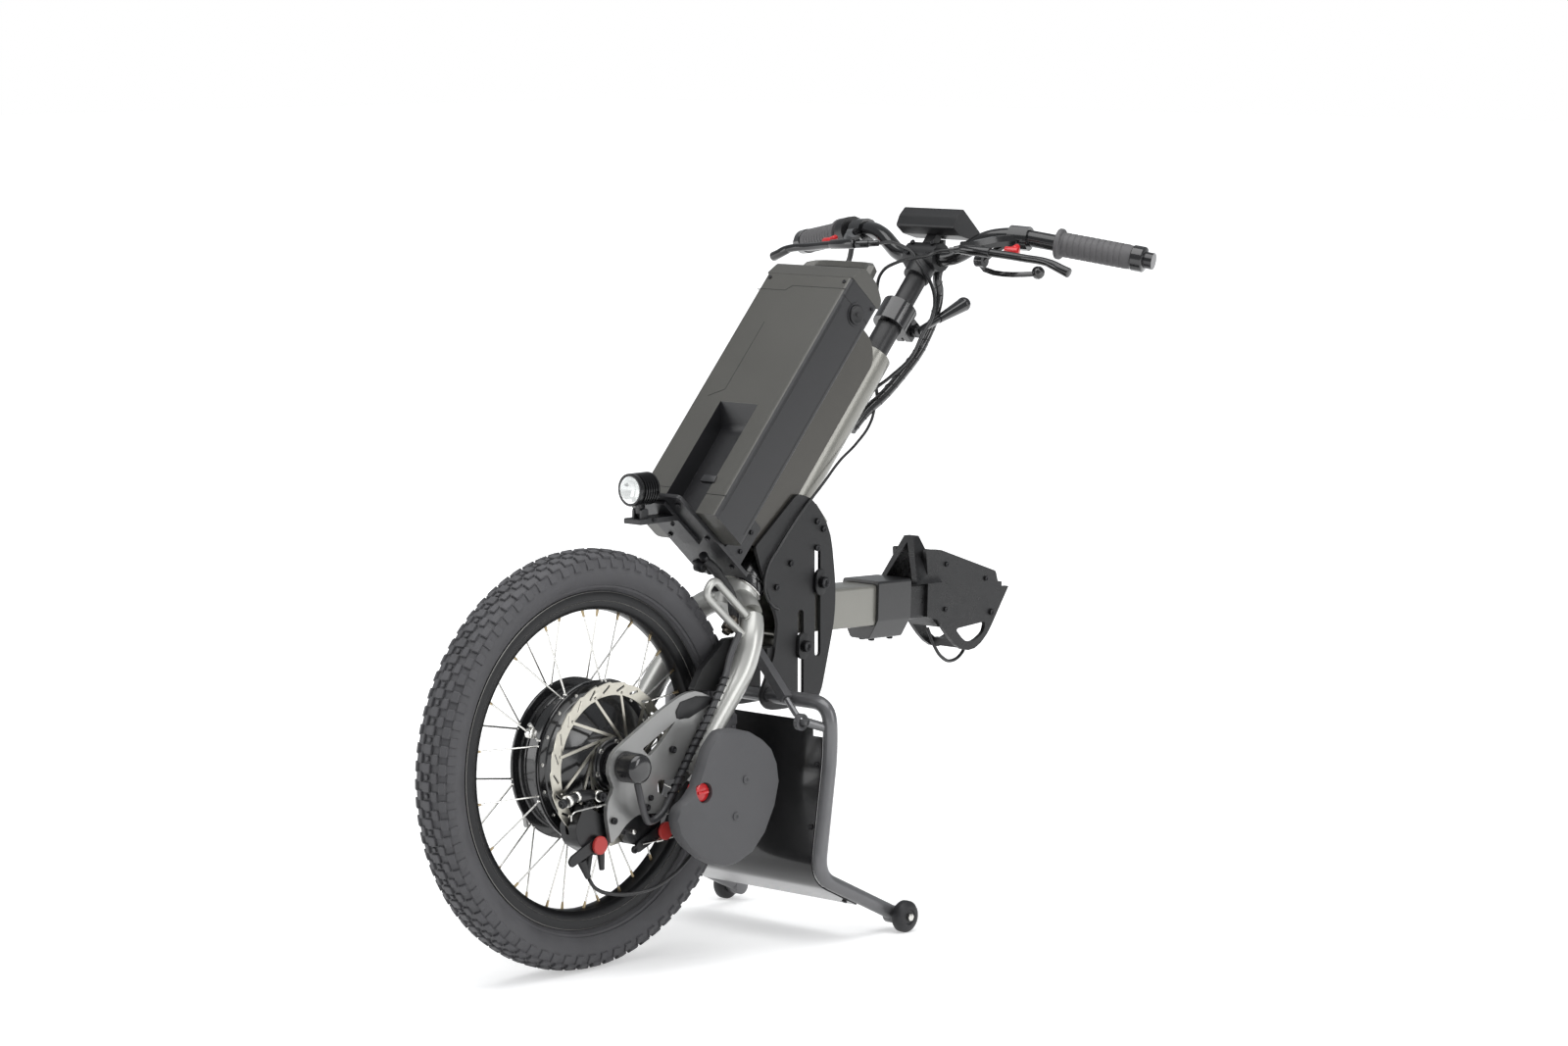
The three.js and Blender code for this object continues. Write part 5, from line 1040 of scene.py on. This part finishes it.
# The sheet lies in front of the stand's tube, along the same bends
side_line = bender_line([(0, y, z) for y, z in stand_side], stand_bend)[1:-1]
side_line = [Vector((0, 17.8, -158))] + side_line + [Vector((0, 78, -391.7))]
front_line, back_line = [], []
for index, point in enumerate(side_line):
    way = (side_line[min(index + 1, len(side_line) - 1)] - side_line[max(index - 1, 0)]).normalized()
    for line, gap in ((front_line, sheet_gap + sheet_thickness), (back_line, sheet_gap)):
        line.append((point.y + way.z * gap, point.z - way.y * gap))
sheet = flat_plate(front_line + back_line[::-1], -sheet_half_width, sheet_half_width)
for side in (1, -1):
    carved(sheet, placed(block((34, 60, 20), 1.0), moved(side * 134, 10, -167)))
assembled([smooth(sheet, 25)], at_crown, "stand_sheet", "stand", panel_gloss, "gloss_black", "stand_panel")
sheet_screws = screws([(side * 127, y, z) for side in (1, -1) for y, z in ((7, -212), (-6, -290))],
                      (0, -1, 0.1), 3.6, 2.6)
sheet_screws += screws([(127, 58, -394), (-127, 58, -394)], (0, -0.47, -0.88), 3.6, 2.4)
assembled(sheet_screws, at_crown, "stand_sheet_screws", "stand", dark_screw, "steel")
for side, word in both_sides:
    wheel = turned([(-8.5, 4.6), (-8.5, 14), (-8, 15.2), (-6.5, 18.4), (-4, 20.3), (0, 20.5), (4, 20.3),
                    (6.5, 18.4), (8, 15.2), (8.5, 14), (8.5, 10), (7.2, 9), (7.2, 4.6)], 48, 35)
    placed(wheel, at_crown @ moved(side * 157, roller_y, roller_z) @ Matrix.Scale(side, 4, (1, 0, 0)))
    if side < 0:
        # The mirrored roller's faces are turned outwards again
        choose(wheel)
        open_mesh()
        close_mesh()
    fitted(wheel, "stand_wheel_" + word, "roller_" + word, roller_rubber, "rubber", "stand_roller_" + word)
    assembled([across_roller(side * 164.6, side * 168.4, 5.2, 6, 0.5)], at_crown, "stand_axle_nut_" + word,
              "stand", bright_screw, "steel")
dressed("strut_sleeve", 0.0012, 30, 2, "strut_tube", "strut_sleeve", powder, "dark_grey")
dressed("strut_rod", 0.0005, 40, 2, "strut_inner", "strut_rod", stand_grey, "dark_grey")

# Stem, handlebar and clamp
# A black stem slides in the steerer under a split collar with its ball-ended quick-release lever, and
# clamps the bent black bar.
bar_black = finish("gloss_black_bar", (0.012, 0.012, 0.013), 0.2, metallic=0.3, spread=0.05, depth=0.03,
                   coat=0.5)
bar_radius, bar_bend = 11, 17
dressed("stem_clamp", 0.0009, 40, 2, "seat_collar", "fork", cap_gloss, "gloss_black")
lever_parts = [rod((-17, 31, 444), (17, 31, 444), 4, 16), peg((13.6, 31, 444), (21, 31, 444), 8, 28, 0.8),
               tube([(19, 31, 444), (19, 42, 464), (20, 54, 486)], 4.8, 16),
               rod((20, 52, 482), (20, 77, 526), 5.6, 28, 9.4), smooth(ball((20, 78, 528), 9.8, 28, 16), 60)]
assembled(lever_parts, at_column, "quick_release_lever", "clamp_lever", cap_gloss, "gloss_black",
          "clamp_lever")
dressed("stem_head", 0.0012, 42, 2, "stem_forged", "bars", black_moulding, "gloss_black")
bar_half = [(46, -4, 541), (92, -12, 571), (128, -8, 581), (308, 61, 603)]
assembled([tube(bender_line(both_halves(bar_half), bar_bend), bar_radius, 28, straight=True)], at_column,
          "bent_handlebar", "bars", bar_black, "gloss_black", "handlebar")
assembled(screws([(x, -22, 541 + up) for x in (-17, 17) for up in (-9, 9)], (0, -1, 0), 3.2, 2.4), at_column,
          "stem_screws", "bars", dark_screw, "steel")

# Grips
# Ribbed rubber grips between a black flange and a lock ring with its end bolt.
grip_rubber = finish("ribbed_grip_rubber", (0.11, 0.107, 0.11), 0.62, contrast=0.08, depth=0.2)
grip_inner, rib_count, rib_pitch = 186, 11, 8
bend_end, bar_end = Vector(bar_half[2]), Vector(bar_half[3])
bar_way = (bar_end - bend_end).normalized()
start = bend_end + bar_way * ((grip_inner - bend_end.x) / bar_way.x)
grip_profile = [(0, 11.6), (0, 19.4), (1, 20.2), (5, 20.2), (6.4, 19), (7, 16.2)]
for k in range(rib_count):
    base = 9 + rib_pitch * k
    grip_profile += [(base, 15.4), (base + 1.2, 15.4), (base + 1.8, 16.2), (base + 7, 16.2)]
grip_profile += [(99.5, 15.6), (103, 15.4), (103, 11.6)]
lock_profile = [(103.4, 11.6), (103.4, 16), (104.4, 16.8), (118, 16.8), (119.4, 16), (120.4, 14),
                (120.6, 11), (121.6, 9), (121.6, 0), (119, 0), (119, 11.6)]
for side, word in both_sides:
    turn = Vector((side * bar_way.x, bar_way.y, bar_way.z)).to_track_quat("X", "Z").to_matrix().to_4x4()
    at_grip = at_column @ moved(side * start.x, start.y, start.z) @ turn
    grip = placed(turned(grip_profile, 48, 30), at_grip)
    fitted(grip, "hand_grip_" + word, "bars", grip_rubber, "rubber", "grip_" + word)
    lock = placed(turned(lock_profile, 48, 28), at_grip)
    fitted(lock, "grip_lock_ring_" + word, "bars", cap_gloss, "gloss_black")
    assembled([peg((119, 0, 0), (123.4, 0, 0), 4.4, 6, 0.5)], at_grip, "grip_end_bolt_" + word, "bars",
              bright_screw, "steel")

# Brake levers, throttle and parking lever
# Forged black perches clamp the bar; each has a long blade lever, which carries a red lock button. The
# throttle drum sits inboard of the right grip, and the ball-ended parking lever hangs on its own pin.
blade_radius, button_radius = 5.4, 6.2
blade_route = [(96, -42, 527), (134, -37, 528), (184, -27, 530), (230, -22, 527), (250, -15, 523)]
adjusters = {"left": [((92, -42, 528), (84, -45, 523), 5.2), ((85, -45, 523), (79, -48, 520), 3.8)],
             "right": [((-92, -41, 527), (-76, -36, 533), 5.2), ((-77, -36, 533), (-64, -32, 538), 4.2)]}
for side, word in both_sides:
    lever = "brake_lever_" + word
    dressed("lever_perch_" + word, 0.0007, 48, 2, "lever_mount_" + word, "bars", bar_black, "gloss_black")
    blade = [tube([(side * x, y, z) for x, y, z in blade_route], blade_radius, 16),
             peg((side * 226, -22.6, 527.4), (side * 257, -12, 521), 5.6, 24, 1.0, 6.6),
             peg((side * 92, -43, 527), (side * 138, -37, 528), 6.8, 20, 1.4)]
    assembled(blade, at_column, "brake_blade_" + word, lever, bar_black, "gloss_black", lever)
    button = [peg((side * 150, -27, 540), (side * 168, -23, 542), button_radius, 24, 1.2),
              peg((side * 158, -24, 546), (side * 158, -19, 554), 4, 16, 0.8)]
    assembled(button, at_column, "lever_lock_button_" + word, lever, red_knob, "red")
    barrel = [peg(near, far, radius, 20, 0.7) for near, far, radius in adjusters[word]]
    assembled(barrel, at_column, "cable_adjuster_" + word, "bars", cap_gloss, "gloss_black")
dressed("throttle", 0.0009, 48, 2, "throttle_drum", "throttle", black_moulding, "plastic")
dressed("park_lever", 0.0006, 55, 2, "parking_lever", "park_lever", cap_gloss, "gloss_black")

# Display
# A moulded housing on the stem's post with a flush black glass face.
screen_black = finish("display_glass", (0.006, 0.006, 0.007), 0.08, contrast=0.02, spread=0.02, depth=0.0,
                      coat=0.6)
dressed("display", 0.0016, 40, 3, "display_housing", "bars", black_moulding, "plastic")
assembled([softened(block((88, 1.2, 22), 1.0), 0.5)], at_column @ moved(0, -12, 599.4) @ rotated(90, "X"),
          "display_screen", "bars", screen_black, "plastic")

# Cables at the column
# The cables of lever, throttle and display run down behind the column in a black spiral wrap, whose upper
# part slides into its lower part with the stem; thin cables arch from the levers into it.
upper_route = [(0, 4, 577), (0, 14, 564), (0, 25, 548), (0, 34, 532), (0, 46, 524), (0, 60, 500),
               (0, 67, 470), (0, 68, 436), (0, 64, 404)]
lower_route = [(0, 68, 454), (0, 68, 436), (0, 62, 396), (0, 52, 352), (0, 38, 312), (0, 32, 280)]
for route, radius, turns, word, body, stands_for in (
    (upper_route, 6.2, 12, "upper", "bars", []), (lower_route, 7.0, 10, "lower", "fork", ["cable_bundle"]),
):
    core = tube(route, radius, 24, 10)
    assembled([core], at_column, "cable_bundle_core_" + word, body, cap_gloss, "cable", *stands_for)
    wrap = spiral(route, radius - 0.3, 0.75, turns, 24)
    assembled([wrap], at_column, "cable_bundle_wrap_" + word, body, joint_dark, "cable")
right_route = [(-62, -32, 538), (-46, -32, 541), (-25, -27, 539), (-8, -22, 533), (6, -19, 521),
               (17, -10, 512), (25, 4, 503), (31, 19, 487), (34, 27, 463), (34, 27, 436), (33, 30, 402),
               (16, 31, 368), (2, 29, 340), (-3, 34, 316), (0, 41, 306)]
left_route = [(80, -48, 520), (62, -50, 515), (40, -39, 517), (15, -36, 513), (-12, -34, 506),
              (-34, -28, 494), (-44, -12, 478), (-40, 10, 455), (-30, 28, 425), (-20, 38, 390),
              (-13, 44, 362), (-3, 48, 344)]
column_route = [(1, 46, 334), (10, 46, 304), (22, 31, 258), (29, 14, 217), (34, 4, 175), (38, -9, 113),
                (38, -12, 58), (38, -12, 29), (38, -5, 13), (38, 10, 1), (38, 28, -2), (34, 44, 3),
                (31, 50, 3)]
for route, radius, name, body in (
    (right_route, 2.3, "lever_cable_right", "bars"), (left_route, 2.3, "lever_cable_left", "bars"),
    (column_route, 1.9, "column_brake_cable", "frame"),
):
    assembled([tube(route, radius, 12, 10)], at_column, name, body, cable_black, "cable")
